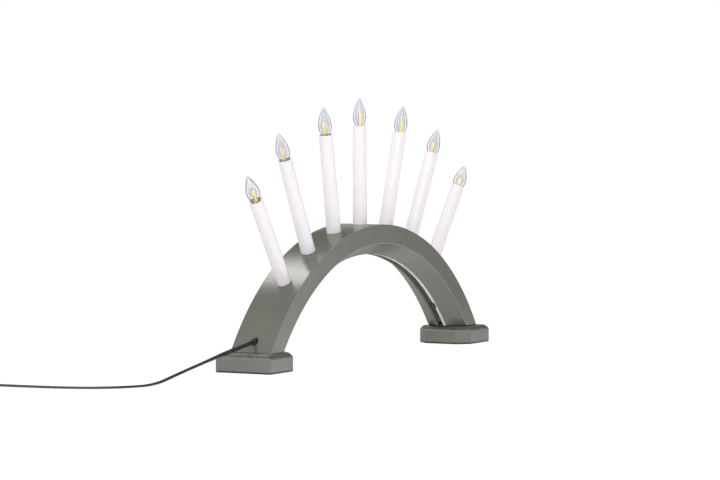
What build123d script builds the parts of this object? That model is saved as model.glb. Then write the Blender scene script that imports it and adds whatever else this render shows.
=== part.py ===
"""Electric candle arch: a painted wooden bow on two feet, with seven lamps and a mains lead.

Millimetres, +Z up. The origin lies on the table, midway between the feet and midway
through the depth of the bow. +X runs along the bow, and the front of the arch faces -Y.
"""

from build123d import *

import os
from math import acos, atan2, copysign, cos, degrees, pi, radians, sin, sqrt, tan

os.makedirs("parts", exist_ok=True)

# Bow: a ring of painted wood with a bevelled underside, cut level on top of the feet
crown_height = 137.7
outer_radius = 277.0
bow_depth = 47.4
bow_face_height = 19.8
bow_bevel_height = 11.6
bow_nose_width = 12.0
bow_edge_rounding = 1.4
bow_nose_edge_radius = 0.5
groove_width = 6.2
groove_depth = 9.0

# Feet: wooden blocks with a bevelled top, clipped inner corners and a felt pad
foot_overhang = 15.62
foot_height = 18.9
foot_length = 57.4
foot_depth = 62.6
foot_clip = 12.2
foot_bevel_width = 4.8
foot_bevel_height = 3.0
foot_corner_radius = 1.2
pad_thickness = 1.6
pad_inset = 0.6

# Countersunk wood screws, two up through each foot into the end of the bow
screw_inset = 39.0
screw_spacing = 24.0
screw_radius = 2.0
screw_length = 36.0
screw_point_length = 5.0
screw_head_radius = 4.0
screw_head_angle = 82.0
screw_clearance = 0.05

# Candles: seven tapered plastic tubes, evenly spaced along the bow and square to it
candle_count = 7
candle_spacing = 57.2
candle_lean_degrees = (0.9, -2.1, 1.1, -0.3, 3.3, 3.3, 1.7)
tube_length = 102.4
tube_foot_radius = 7.5
tube_rim_radius = 6.87
tube_bore_radius = 6.0
tube_rim_rounding = 0.35
seat_depth = 6.0
seat_clearance = 0.05
wire_bore_radius = 3.0

# Lampholder in the mouth of each tube: insulating body, brass shell and centre rivet
holder_radius = 5.95
holder_recess = 0.8
holder_length = 24.0
holder_floor = 8.0
holder_clearance = 0.04
shell_radius = 5.2
shell_wall = 0.36
shell_recess = 0.3
rivet_head_radius = 2.2
rivet_head_height = 0.8
rivet_radius = 1.3
rivet_tail = 1.0

# Lamp: screw cap with an insulated centre contact, and a flame-shaped glass
cap_radius = 4.76
cap_wall = 0.36
cap_recess = 0.4
cap_length = 12.4
cap_shoulder = 2.0
cap_floor_radius = 2.6
contact_clearance = 0.08
contact_bead_height = 3.0
contact_tip_radius = 1.7
contact_gap = 0.1
glass_height = 29.0
glass_radius = 7.05
glass_wall = 0.6
glass_neck_clearance = 0.06
glass_neck_length = 3.4
glass_neck_slope = 0.35
glass_tip_radius = 1.3
glass_tip_degrees = 21.0
glass_height_shares = (0.09, 0.19, 0.36, 0.53, 0.70, 0.84)
glass_radius_shares = (0.89, 1.0, 0.955, 0.795, 0.56, 0.345)

# Inside the glass: a stem with its exhaust bore, and a lit stick between two wires
stem_radius = 1.7
stem_sink = 1.6
exhaust_radius = 0.4
filament_radius = 0.85
filament_length = 14.0
filament_sink = 0.9
filament_spacing = 2.2
filament_wire_radius = 0.25
filament_bridge_rise = 1.2
filament_bend_radius = 0.8

# Wiring in the groove under the bow, and up from it into each candle
wire_radius = 1.0
wire_spacing = 2.6
wire_clearance = 0.1
lead_radius = 0.7
lead_spacing = 4.2
splice_radius = 2.25
splice_length = 9.0
splice_setback = 56.4275
splice_rounding = 0.7

# Mains lead: it leaves the left leg just above the foot, through a rubber bush
cord_width = 4.3
cord_bore_clearance = 0.35
exit_height = 30.1
exit_slope = 0.137
bush_radius = 3.3
bush_tip_radius = 2.8
bush_depth = 18.5
bush_nose = 4.5
bush_clearance = 0.05

# Route of the lead beside the arch: down to the table, then away along it to the coil
cord_on_table = 2.2
route_points = (
    (-240.5, 0.0, 27.1),
    (-263.0, 0.2, 24.0),
    (-296.0, 0.0, 19.4),
    (-333.0, -0.6, 14.0),
    (-368.0, -0.2, 8.4),
    (-402.0, 3.0, cord_on_table),
    (-434.0, 15.0, cord_on_table),
    (-456.5, 40.0, cord_on_table),
    (-466.5, 74.0, cord_on_table),
    (-471.0, 110.0, cord_on_table),
    (-472.7, 143.0, cord_on_table),
    (-473.0, 169.0, cord_on_table),
    (-473.0, 190.0, cord_on_table),
)
route_bend_share = 0.45

# Coil of the rest of the lead: in along the table, up a layer in mid turn, and out on top
coil_mean_radius = 25.7
coil_pitch = 4.8
coil_steps_per_turn = 4
coil_steps_in = 14
coil_steps_out = 15
coil_start_degrees = 180.0
coil_end_straight = 14.0
gap_samples = 6

# Flat two-pin plug, lying beside the coil
plug_thickness = 14.0
plug_face_width = 35.0
plug_length = 36.0
plug_length_shares = (0.0, 0.25, 0.60, 0.78, 1.0)
plug_width_shares = (0.40, 0.62, 0.92, 1.0, 1.0)
plug_plan_radius = 3.0
plug_edge_radius = 2.4
sleeve_length = 11.0
sleeve_radius = 4.3
sleeve_tip_radius = 3.0
pin_radius = 2.0
pin_length = 19.0
pin_spacing = 18.6
pin_stub_radius = 1.5
pin_stub_length = 6.0
pin_clearance = 0.05
pin_tip_rounding = 0.8

# How far a cut runs past the surface that it opens
overrun = 2.0

# Radii, heights and places that follow from the sizes above
ring_centre = Vector(0, 0, crown_height - outer_radius)
ring_axis = Axis(ring_centre, (0, 1, 0))
face_radius = outer_radius - bow_face_height
nose_radius = face_radius - bow_bevel_height
groove_radius = nose_radius + groove_depth
bow_side = bow_depth / 2
bevel_slope = (bow_side - bow_nose_width / 2) / bow_bevel_height
leg_end_radians = acos((foot_height - ring_centre.Z) / outer_radius)
bow_end_degrees = degrees(leg_end_radians + overrun / outer_radius)
splice_degrees = degrees(leg_end_radians - splice_setback / outer_radius)
leg_end_x = sqrt(outer_radius**2 - (foot_height - ring_centre.Z) ** 2)
foot_end_x = leg_end_x + foot_overhang
foot_centre_x = foot_end_x - foot_length / 2
screw_x = foot_end_x - screw_inset
screw_places = [
    (side * screw_x, row * screw_spacing / 2, pad_thickness)
    for side in (-1, 1)
    for row in (-1, 1)
]
holder_mouth = tube_length - holder_recess
holder_foot = holder_mouth - holder_length
well_floor = holder_foot + holder_floor
well_radius = shell_radius + holder_clearance
rivet_top = well_floor + rivet_head_height
cap_top = tube_length - cap_recess
cap_bottom = cap_top - cap_length
cap_inner_radius = cap_radius - cap_wall
glass_neck_radius = cap_inner_radius - glass_neck_clearance
glass_foot = cap_top - glass_neck_length
stem_top = tube_length - stem_sink
filament_foot = tube_length - filament_sink
filament_top = filament_foot + filament_length


def save(part, name):
    """Label a finished piece and write it under that name."""
    part.label = name
    export_step(part, f"parts/{name}.step")


def on_ring(radius, angle):
    """Point at a radius of the bow's ring, at an angle in degrees from the crown towards +X."""
    return ring_centre + Vector(sin(radians(angle)), 0, cos(radians(angle))) * radius


def along_ring(radius, angle):
    """Plane across the bow's ring at an angle from the crown, with its X axis along +Y."""
    heading = Vector(cos(radians(angle)), 0, -sin(radians(angle)))
    return Plane(on_ring(radius, angle), x_dir=(0, 1, 0), z_dir=heading)


def candle_frame(number):
    """Plane at a candle's foot on the bow, with its Z axis along the candle."""
    angle = (number - (candle_count + 1) / 2) * degrees(candle_spacing / outer_radius)
    lean = radians(candle_lean_degrees[number - 1])
    along = Vector(cos(radians(angle)), 0, -sin(radians(angle)))
    outward = Vector(sin(radians(angle)), 0, cos(radians(angle)))
    upright = outward * cos(lean) - Vector(0, sin(lean), 0)
    return Plane(on_ring(outer_radius, angle), x_dir=along, z_dir=upright)


def half_section(frame):
    """Plane through a turned piece's axis: X is its radius and Y its height."""
    return Plane(frame.origin, x_dir=frame.x_dir, z_dir=-frame.y_dir)


def turning_axis(frame):
    """Axis that a turned piece is revolved about."""
    return Axis(frame.origin, frame.z_dir)


def reach_to_ring(origin, direction, radius):
    """Distance from a point along a direction to the nearer crossing of a ring radius."""
    offset_from_centre = origin - ring_centre
    closing = offset_from_centre.dot(direction)
    return -closing - sqrt(closing**2 - offset_from_centre.dot(offset_from_centre) + radius**2)


def draw_foot_plan(plan, inset):
    """Draw the left foot as seen from above in an open sketch, drawn in by an inset."""
    with Locations((-foot_centre_x, 0)):
        Rectangle(foot_length, foot_depth)
    chamfer(plan.vertices().group_by(Axis.X)[-1], foot_clip)
    if inset:
        offset(amount=-inset, kind=Kind.INTERSECTION)
    fillet(plan.vertices(), foot_corner_radius)


def draw_flame(inset):
    """Draw the side of a lamp's glass in an open line, from its neck to its tip, less an inset."""
    tilt = radians(glass_tip_degrees)
    tip_radius = glass_tip_radius - inset / 2
    tip = tube_length + glass_height - 2 * inset
    tip_start = (tip_radius * cos(tilt), tip - tip_radius + tip_radius * sin(tilt))
    side = [
        (glass_radius * width - inset, tube_length + glass_height * height)
        for width, height in zip(glass_radius_shares, glass_height_shares)
    ]
    flame = Spline(
        (glass_neck_radius - inset, cap_top),
        *side,
        tip_start,
        tangents=((glass_neck_slope, 1), (-sin(tilt), cos(tilt))),
    )
    TangentArc(tip_start, (0, tip), tangent=flame % 1)


# The lead's way out: from the end of the groove, outwards and a little down
exit_rise = exit_height - ring_centre.Z
exit_point = Vector(-sqrt(outer_radius**2 - exit_rise**2), 0, exit_height)
exit_plane = Plane(exit_point, x_dir=(0, 1, 0), z_dir=(-1, 0, -exit_slope))
exit_direction = exit_plane.z_dir
cord_start = exit_point + exit_direction * bush_nose
tail_depth = reach_to_ring(exit_point, -exit_direction, groove_radius)
tail_end = exit_point - exit_direction * tail_depth
candle_frames = [candle_frame(number + 1) for number in range(candle_count)]

# Bow, with its groove, candle seats, wire bores, screw pilots and the lead's bore
with BuildPart() as arch_bow:
    with BuildSketch(along_ring(0, -bow_end_degrees)) as bow_section:
        with BuildLine():
            Line((0, outer_radius), (bow_side - bow_edge_rounding, outer_radius))
            Bezier(
                (bow_side - bow_edge_rounding, outer_radius),
                (bow_side, outer_radius),
                (bow_side, outer_radius - bow_edge_rounding),
            )
            Line((bow_side, outer_radius - bow_edge_rounding), (bow_side, face_radius + bow_edge_rounding))
            Bezier(
                (bow_side, face_radius + bow_edge_rounding),
                (bow_side, face_radius),
                (bow_side - bow_edge_rounding * bevel_slope, face_radius - bow_edge_rounding),
            )
            Polyline(
                (bow_side - bow_edge_rounding * bevel_slope, face_radius - bow_edge_rounding),
                (bow_nose_width / 2, nose_radius),
                (groove_width / 2, nose_radius),
                (groove_width / 2, groove_radius),
                (0, groove_radius),
            )
            mirror(about=Plane.YZ)
        make_face()
        nose_corners = bow_section.vertices().group_by(Axis.Y)[0].sort_by(Axis.X)
        fillet([nose_corners[0], nose_corners[-1]], bow_nose_edge_radius)
    revolve(axis=ring_axis, revolution_arc=2 * bow_end_degrees)
    split(bisect_by=Plane.XY.offset(foot_height), keep=Keep.TOP)
    for frame in candle_frames:
        with BuildSketch(frame.offset(-seat_depth)):
            Circle(tube_foot_radius + seat_clearance)
        extrude(amount=seat_depth + overrun, mode=Mode.SUBTRACT)
        with BuildSketch(frame):
            Circle(wire_bore_radius)
        extrude(amount=groove_radius - outer_radius - overrun, mode=Mode.SUBTRACT)
    for place in screw_places:
        with BuildSketch(Plane(place)):
            Circle(screw_radius + screw_clearance)
        extrude(amount=screw_length + screw_clearance, mode=Mode.SUBTRACT)
    with BuildSketch(exit_plane.offset(-bush_depth)):
        Circle(bush_radius + bush_clearance)
    extrude(amount=bush_depth + bush_nose, mode=Mode.SUBTRACT)
    with BuildSketch(exit_plane):
        Circle(cord_width / 2 + cord_bore_clearance)
    extrude(amount=-tail_depth - overrun, mode=Mode.SUBTRACT)
save(arch_bow.part, "arch_bow")

# Left foot: upright sides, a bevelled top and two countersunk holes in its underside
with BuildPart() as left_foot:
    with BuildSketch(Plane.XY.offset(pad_thickness)) as foot_plan:
        draw_foot_plan(foot_plan, 0)
    extrude(amount=foot_height - foot_bevel_height - pad_thickness)
    with BuildSketch(Plane.XY.offset(foot_height - foot_bevel_height)) as bevel_foot:
        draw_foot_plan(bevel_foot, 0)
    with BuildSketch(Plane.XY.offset(foot_height)) as bevel_top:
        draw_foot_plan(bevel_top, foot_bevel_width)
    loft(ruled=True)
    for place in screw_places[:2]:
        with Locations(Plane(place, z_dir=(0, 0, -1))):
            CounterSinkHole(
                screw_radius + screw_clearance,
                screw_head_radius + screw_clearance,
                counter_sink_angle=screw_head_angle,
            )
save(left_foot.part, "left_foot")

with BuildPart() as right_foot:
    mirror(left_foot.part, about=Plane.YZ)
save(right_foot.part, "right_foot")

# Felt pads under the feet
with BuildPart() as left_foot_pad:
    with BuildSketch() as pad_plan:
        draw_foot_plan(pad_plan, pad_inset)
    extrude(amount=pad_thickness)
save(left_foot_pad.part, "left_foot_pad")

with BuildPart() as right_foot_pad:
    mirror(left_foot_pad.part, about=Plane.YZ)
save(right_foot_pad.part, "right_foot_pad")

# Wood screws, point up, their heads just inside the undersides of the feet
screw_head_height = (screw_head_radius - screw_radius) / tan(radians(screw_head_angle / 2))
with BuildPart() as foot_screws:
    for place in screw_places:
        screw_frame = Plane(place).offset(screw_clearance)
        with BuildSketch(half_section(screw_frame)):
            with BuildLine():
                Polyline(
                    (0, 0),
                    (screw_head_radius, 0),
                    (screw_radius, screw_head_height),
                    (screw_radius, screw_length - screw_point_length),
                    (0, screw_length - screw_clearance),
                    close=True,
                )
            make_face()
        revolve(axis=turning_axis(screw_frame))
save(foot_screws.part, "foot_screws")

# Profiles of the turned pieces of a candle, as radius and height above the bow
tube_profile = (
    (tube_bore_radius, -seat_depth),
    (tube_foot_radius, -seat_depth),
    (tube_foot_radius, 0),
    (tube_rim_radius, tube_length),
    (tube_bore_radius, tube_length),
)
holder_profile = (
    (rivet_radius + holder_clearance, holder_foot),
    (holder_radius, holder_foot),
    (holder_radius, holder_mouth),
    (well_radius, holder_mouth),
    (well_radius, well_floor),
    (rivet_radius + holder_clearance, well_floor),
)
shell_profile = (
    (shell_radius - shell_wall, well_floor),
    (shell_radius, well_floor),
    (shell_radius, holder_mouth - shell_recess),
    (shell_radius - shell_wall, holder_mouth - shell_recess),
)
rivet_profile = (
    (0, holder_foot - rivet_tail),
    (rivet_radius, holder_foot - rivet_tail),
    (rivet_radius, well_floor),
    (rivet_head_radius, well_floor),
    (rivet_head_radius, rivet_top),
    (0, rivet_top),
)
cap_profile = (
    (cap_floor_radius, cap_bottom),
    (cap_floor_radius + cap_wall, cap_bottom),
    (cap_radius, cap_bottom + cap_shoulder),
    (cap_radius, cap_top),
    (cap_inner_radius, cap_top),
    (cap_inner_radius, cap_bottom + cap_shoulder + cap_wall),
    (cap_floor_radius, cap_bottom + cap_wall),
)
contact_profile = (
    (0, rivet_top + contact_gap),
    (contact_tip_radius, rivet_top + contact_gap),
    (contact_tip_radius, cap_bottom - cap_wall),
    (cap_floor_radius - contact_clearance, cap_bottom),
    (cap_floor_radius - contact_clearance, cap_bottom + contact_bead_height),
    (0, cap_bottom + contact_bead_height),
)

# Group pieces: brass shells, centre rivets, and the pair of leads up to each holder
with BuildPart() as holder_shells:
    for frame in candle_frames:
        with BuildSketch(half_section(frame)):
            Polygon(*shell_profile, align=None)
        revolve(axis=turning_axis(frame))
save(holder_shells.part, "holder_shells")

with BuildPart() as holder_rivets:
    for frame in candle_frames:
        with BuildSketch(half_section(frame)):
            Polygon(*rivet_profile, align=None)
        revolve(axis=turning_axis(frame))
save(holder_rivets.part, "holder_rivets")

lead_foot = groove_radius - outer_radius + wire_clearance
with BuildPart() as candle_leads:
    for frame in candle_frames:
        with BuildSketch(frame.offset(lead_foot)):
            with Locations((-lead_spacing / 2, 0), (lead_spacing / 2, 0)):
                Circle(lead_radius)
        extrude(amount=holder_foot - wire_clearance - lead_foot)
save(candle_leads.part, "candle_leads")

# The candles one by one: tube, holder body, and the lamp's contact, cap, glass and filament
for number, frame in enumerate(candle_frames, start=1):
    section = half_section(frame)
    axis = turning_axis(frame)

    with BuildPart() as candle_tube:
        with BuildSketch(section):
            Polygon(*tube_profile, align=None)
        revolve(axis=axis)
        fillet(candle_tube.faces().sort_by(axis)[-1].edges(), tube_rim_rounding)
    save(candle_tube.part, f"candle_tube_{number}")

    with BuildPart() as lampholder:
        with BuildSketch(section):
            Polygon(*holder_profile, align=None)
        revolve(axis=axis)
    save(lampholder.part, f"lampholder_{number}")

    with BuildPart() as lamp_contact:
        with BuildSketch(section):
            Polygon(*contact_profile, align=None)
        revolve(axis=axis)
    save(lamp_contact.part, f"lamp_contact_{number}")

    with BuildPart() as lamp_cap:
        with BuildSketch(section):
            Polygon(*cap_profile, align=None)
        revolve(axis=axis)
    save(lamp_cap.part, f"lamp_cap_{number}")

    with BuildPart() as lamp_glass:
        with BuildSketch(section):
            with BuildLine():
                Polyline(
                    (glass_neck_radius - glass_wall, cap_top),
                    (glass_neck_radius - glass_wall, glass_foot + glass_wall),
                    (stem_radius, glass_foot + glass_wall),
                    (stem_radius, stem_top),
                    (exhaust_radius, stem_top),
                    (exhaust_radius, glass_foot),
                    (glass_neck_radius, glass_foot),
                    (glass_neck_radius, cap_top),
                )
                draw_flame(0)
                draw_flame(glass_wall)
                Line((0, tube_length + glass_height), (0, tube_length + glass_height - 2 * glass_wall))
            make_face()
        revolve(axis=axis)
    save(lamp_glass.part, f"lamp_glass_{number}")

    with BuildPart() as lamp_filament:
        with BuildSketch(frame.offset(filament_foot)):
            with Locations((-filament_spacing / 2, 0)):
                Circle(filament_radius)
        extrude(amount=filament_length)
        with BuildSketch(frame.offset(stem_top)):
            with Locations((-filament_spacing / 2, 0)):
                Circle(filament_wire_radius)
        extrude(amount=filament_foot - stem_top)
        with BuildLine(section):
            FilletPolyline(
                (filament_spacing / 2, stem_top),
                (filament_spacing / 2, filament_top + filament_bridge_rise),
                (-filament_spacing / 2, filament_top + filament_bridge_rise),
                (-filament_spacing / 2, filament_top),
                radius=filament_bend_radius,
            )
        with BuildSketch(frame.offset(stem_top)):
            with Locations((filament_spacing / 2, 0)):
                Circle(filament_wire_radius)
        sweep()
    save(lamp_filament.part, f"lamp_filament_{number}")

# Two wires along the groove, from the lead to the splice past the last candle
wire_ring = groove_radius - wire_clearance - wire_radius
wire_start_degrees = degrees(atan2(tail_end.X, tail_end.Z - ring_centre.Z) + wire_radius / wire_ring)
splice_ring = groove_radius - wire_clearance - splice_radius
splice_half_degrees = degrees((splice_length / 2 + wire_clearance) / splice_ring)
with BuildPart() as groove_wires:
    with BuildSketch(along_ring(wire_ring, wire_start_degrees)):
        with Locations((-wire_spacing / 2, 0), (wire_spacing / 2, 0)):
            Circle(wire_radius)
    revolve(
        axis=ring_axis,
        revolution_arc=splice_degrees - splice_half_degrees - wire_start_degrees,
    )
save(groove_wires.part, "groove_wires")

with BuildPart() as wire_splice:
    with BuildSketch(along_ring(splice_ring, splice_degrees)):
        Circle(splice_radius)
    extrude(amount=splice_length / 2, both=True)
    fillet(wire_splice.edges().filter_by(GeomType.CIRCLE), splice_rounding)
save(wire_splice.part, "wire_splice")

# Rubber bush in the leg, and the stretch of the lead that it holds
with BuildPart() as cord_bush:
    with BuildSketch(half_section(exit_plane)):
        with BuildLine():
            Polyline(
                (cord_width / 2 + bush_clearance, -bush_depth),
                (bush_radius, -bush_depth),
                (bush_radius, 0),
                (bush_tip_radius, bush_nose),
                (cord_width / 2 + bush_clearance, bush_nose),
                close=True,
            )
        make_face()
    revolve(axis=turning_axis(exit_plane))
save(cord_bush.part, "cord_bush")

with BuildPart() as cord_tail:
    with BuildSketch(exit_plane.offset(-tail_depth)):
        Circle(cord_width / 2)
    extrude(amount=tail_depth + bush_nose)
save(cord_tail.part, "cord_tail")

# Free stretch of the lead: straight runs joined by arcs as large as the runs allow
route = [cord_start] + [Vector(*point) for point in route_points]
runs = [end - start for start, end in zip(route, route[1:])]
route_radii = [
    route_bend_share * min(before.length, after.length) / tan(radians(before.get_angle(after)) / 2)
    for before, after in zip(runs, runs[1:])
]
print("lead radii:", [round(radius, 1) for radius in route_radii])
print("lead runs:", [round(run.length, 1) for run in runs])
with BuildPart() as mains_cord:
    with BuildLine() as cord_line:
        FilletPolyline(*route, radius=route_radii)
    with BuildSketch(exit_plane.offset(bush_nose)):
        Circle(cord_width / 2)
    sweep()
save(mains_cord.part, "mains_cord")

# Coil: a spiral of quarter turns, each made of two arcs that share a tangent
coil_rise = plug_thickness / 2 - cord_on_table
coil_steps = coil_steps_in + coil_steps_out
coil_inner_radius = coil_mean_radius - coil_pitch * coil_steps_out / coil_steps_per_turn / 2
coil_start = route[-1]
coil_first_radius = coil_inner_radius + coil_pitch * coil_steps_in / coil_steps_per_turn
coil_centre = coil_start + Vector(coil_first_radius, cord_width, 0)


def coil_node(step):
    """Point and heading of the coil's centre line after a number of steps."""
    from_middle = step - coil_steps_in
    angle = radians(coil_start_degrees - step * 360 / coil_steps_per_turn)
    radius = coil_inner_radius + coil_pitch * abs(from_middle) / coil_steps_per_turn
    outward = Vector(cos(angle), sin(angle), 0)
    forward = Vector(sin(angle), -cos(angle), 0)
    if from_middle == 0:
        height = coil_rise / 2
        heading = forward * radius + Vector(0, 0, 2 * coil_rise / pi)
    else:
        height = coil_rise if from_middle > 0 else 0
        drift = 0 if step in (0, coil_steps) else copysign(coil_pitch / (2 * pi), from_middle)
        heading = forward * radius + outward * drift
    return coil_centre + outward * radius + Vector(0, 0, height), heading.normalized()


def arc_meeting_point(start, start_heading, end, end_heading):
    """Point where two arcs meet that leave one point and reach another at given headings."""
    span = end - start
    headings = start_heading + end_heading
    spread = 4 - headings.dot(headings)
    closing = span.dot(headings)
    reach = (sqrt(closing**2 + spread * span.dot(span)) - closing) / spread
    return (start + end + (start_heading - end_heading) * reach) / 2


with BuildPart() as cord_coil:
    with BuildLine() as coil_line:
        Line(coil_start, coil_node(0)[0])
        for step in range(coil_steps):
            arc_start, start_heading = coil_node(step)
            arc_end, end_heading = coil_node(step + 1)
            meeting = arc_meeting_point(arc_start, start_heading, arc_end, end_heading)
            first_arc = TangentArc(arc_start, meeting, tangent=start_heading)
            TangentArc(meeting, arc_end, tangent=first_arc % 1)
        coil_end = arc_end + end_heading * coil_end_straight
        Line(arc_end, coil_end)
    with BuildSketch(Plane(coil_start, x_dir=(1, 0, 0), z_dir=(0, 1, 0))):
        Circle(cord_width / 2)
    sweep()
save(cord_coil.part, "cord_coil")

# Measured on points of the coil's centre line, half a turn or more apart along it
coil_points = []
travelled = 0
for edge in coil_line.wires()[0].order_edges():
    for sample in range(gap_samples):
        share = sample / gap_samples
        coil_points.append((travelled + edge.length * share, edge @ share))
    travelled += edge.length
least_distance = min(
    (here - there).length
    for index, (place, here) in enumerate(coil_points)
    for later_place, there in coil_points[index + 1 :]
    if later_place - place > pi * coil_inner_radius
)
print("coil least gap:", round(least_distance - cord_width, 2))

# Each tube's volume beside its section times its length
cord_section = pi * cord_width**2 / 4
for name, tube, line in (("lead", mains_cord, cord_line), ("coil", cord_coil, coil_line)):
    length = sum(edge.length for edge in line.edges())
    volume_share = tube.part.volume / length / cord_section
    print(name, "length:", round(length, 1), "volume share:", round(volume_share, 5))

# Plug: a flat moulded body with a tapered sleeve, and two round pins
plug_plan = Plane(coil_end, x_dir=end_heading, z_dir=(0, 0, 1))
plug_end = Plane(coil_end, x_dir=(0, 1, 0), z_dir=end_heading)
plug_side = [
    (sleeve_length + plug_length * along, plug_face_width / 2 * width)
    for along, width in zip(plug_length_shares, plug_width_shares)
]
plug_face = plug_end.offset(sleeve_length + plug_length)
pin_places = ((-pin_spacing / 2, 0), (pin_spacing / 2, 0))
with BuildPart() as plug_body:
    with BuildSketch(plug_plan) as plug_outline:
        Polygon(*plug_side, *[(along, -width) for along, width in reversed(plug_side)], align=None)
        fillet(plug_outline.vertices(), plug_plan_radius)
    extrude(amount=plug_thickness / 2, both=True)
    levels = plug_body.edges().group_by(Axis.Z)
    fillet(levels[0] + levels[-1], plug_edge_radius)
    with BuildSketch(plug_end):
        Circle(sleeve_tip_radius)
    with BuildSketch(plug_end.offset(sleeve_length + plug_edge_radius)):
        Circle(sleeve_radius)
    loft()
    with BuildSketch(plug_face):
        with Locations(*pin_places):
            Circle(pin_stub_radius + pin_clearance)
    extrude(amount=-pin_stub_length, mode=Mode.SUBTRACT)
save(plug_body.part, "plug_body")

with BuildPart() as plug_pins:
    with BuildSketch(plug_face):
        with Locations(*pin_places):
            Circle(pin_radius)
    extrude(amount=pin_length)
    fillet(plug_pins.edges().filter_by(GeomType.CIRCLE).group_by(Axis.X)[-1], pin_tip_rounding)
    with BuildSketch(plug_face):
        with Locations(*pin_places):
            Circle(pin_stub_radius)
    extrude(amount=-pin_stub_length)
save(plug_pins.part, "plug_pins")
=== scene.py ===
"""Looks of the electric candle arch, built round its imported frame.

Metres, in the part's own frame: +Z is up, +X runs along the bow, and the front faces -Y.
"""

import logging
from dataclasses import dataclass, replace
from enum import Enum
from math import acos, atan2, cos, degrees, hypot, pi, radians, sin, sqrt, tan
from typing import Sequence

import bmesh
import bpy
from mathutils import Matrix, Vector


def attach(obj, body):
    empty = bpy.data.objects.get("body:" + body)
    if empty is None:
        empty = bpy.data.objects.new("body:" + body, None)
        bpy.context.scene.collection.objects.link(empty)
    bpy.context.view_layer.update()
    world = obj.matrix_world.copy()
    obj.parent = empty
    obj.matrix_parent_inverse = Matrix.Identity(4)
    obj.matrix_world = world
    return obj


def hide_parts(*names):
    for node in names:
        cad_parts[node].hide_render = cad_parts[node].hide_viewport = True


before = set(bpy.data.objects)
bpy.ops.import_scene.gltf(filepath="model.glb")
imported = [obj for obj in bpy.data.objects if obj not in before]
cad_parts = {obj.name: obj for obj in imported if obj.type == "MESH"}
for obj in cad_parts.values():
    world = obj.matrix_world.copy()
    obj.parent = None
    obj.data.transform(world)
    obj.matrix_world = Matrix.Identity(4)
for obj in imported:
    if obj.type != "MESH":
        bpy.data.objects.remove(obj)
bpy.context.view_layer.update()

LOG = logging.getLogger("candle_arch")
MM = 0.001
MICRON = 0.000001
ARCH_BODY = "arch"
EDGE_STEPS = 5
TURNED_CREASE = 40.0
SOFT_CREASE = 50.0
CORD_CREASE = 60.0

Colour = tuple[float, float, float]
Place = tuple[float, float, float]
Pair = tuple[float, float]
Outline = list[Pair]
Piece = bpy.types.Object
Material = bpy.types.Material
Tree = bpy.types.NodeTree
Socket = bpy.types.NodeSocket


class Side(Enum):
    """The two legs of the arch, by the sign of their X."""

    LEFT = -1
    RIGHT = 1

    @property
    def word(self) -> str:
        """Name of the side in node names."""
        return self.name.lower()


class Pattern(Enum):
    """Direction that a finish's grain follows."""

    RING = "ring"
    STRAIGHT = "straight"


# Small tools for outlines and meshes


def clamped(share: float) -> float:
    """Keep a share between 0 and 1."""
    return min(max(share, 0.0), 1.0)


def round_corners(corners: Sequence[tuple[float, float, float]], steps: int) -> Outline:
    """Draw a closed outline with its corners rounded.

    Args:
        corners: Each corner's place and rounding radius; a radius of zero stays sharp.
        steps: Number of edges in each rounded corner.

    Returns:
        The outline's points in order.
    """
    outline: Outline = []
    for index, (x, y, radius) in enumerate(corners):
        if radius == 0:
            outline.append((x, y))
            continue
        here = Vector((x, y))
        before = (Vector(corners[index - 1][:2]) - here).normalized()
        after = (Vector(corners[(index + 1) % len(corners)][:2]) - here).normalized()
        half = before.angle(after) / 2
        centre = here + (before + after).normalized() * radius / sin(half)
        start = here + before * radius / tan(half) - centre
        end = here + after * radius / tan(half) - centre
        first = atan2(start.y, start.x)
        sweep = (atan2(end.y, end.x) - first + pi) % (2 * pi) - pi
        for step in range(steps + 1):
            angle = first + sweep * step / steps
            outline.append((centre.x + radius * cos(angle), centre.y + radius * sin(angle)))
    return outline


def smooth_through(points: Outline, steps: int) -> Outline:
    """Draw a smooth curve through points.

    Args:
        points: The points, in order along the curve.
        steps: Number of edges between two points.

    Returns:
        The curve's points, both ends included.
    """
    tangents = []
    for index in range(len(points)):
        before = Vector(points[max(index - 1, 0)])
        after = Vector(points[min(index + 1, len(points) - 1)])
        tangents.append((after - before) / (2 if 0 < index < len(points) - 1 else 1))
    curve: Outline = []
    for index in range(len(points) - 1):
        start, end = Vector(points[index]), Vector(points[index + 1])
        for step in range(steps):
            t = step / steps
            place = (
                start * (2 * t**3 - 3 * t**2 + 1)
                + tangents[index] * (t**3 - 2 * t**2 + t)
                + end * (3 * t**2 - 2 * t**3)
                + tangents[index + 1] * (t**3 - t**2)
            )
            curve.append((place.x, place.y))
    curve.append(tuple(points[-1]))
    return curve


def drawn_in(outline: Outline, inset: float) -> Outline:
    """Move each side of a convex outline inwards.

    Args:
        outline: Corners in anticlockwise order.
        inset: How far each side moves.

    Returns:
        The corners of the smaller outline.
    """
    inner: Outline = []
    for index, corner in enumerate(outline):
        here = Vector(corner)
        back = (here - Vector(outline[index - 1])).normalized()
        on = (Vector(outline[(index + 1) % len(outline)]) - here).normalized()
        inward = (Vector((-back.y, back.x)) + Vector((-on.y, on.x))).normalized()
        reach = inset / max(inward.dot(Vector((-on.y, on.x))), MICRON)
        inner.append((here.x + inward.x * reach, here.y + inward.y * reach))
    return inner


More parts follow.
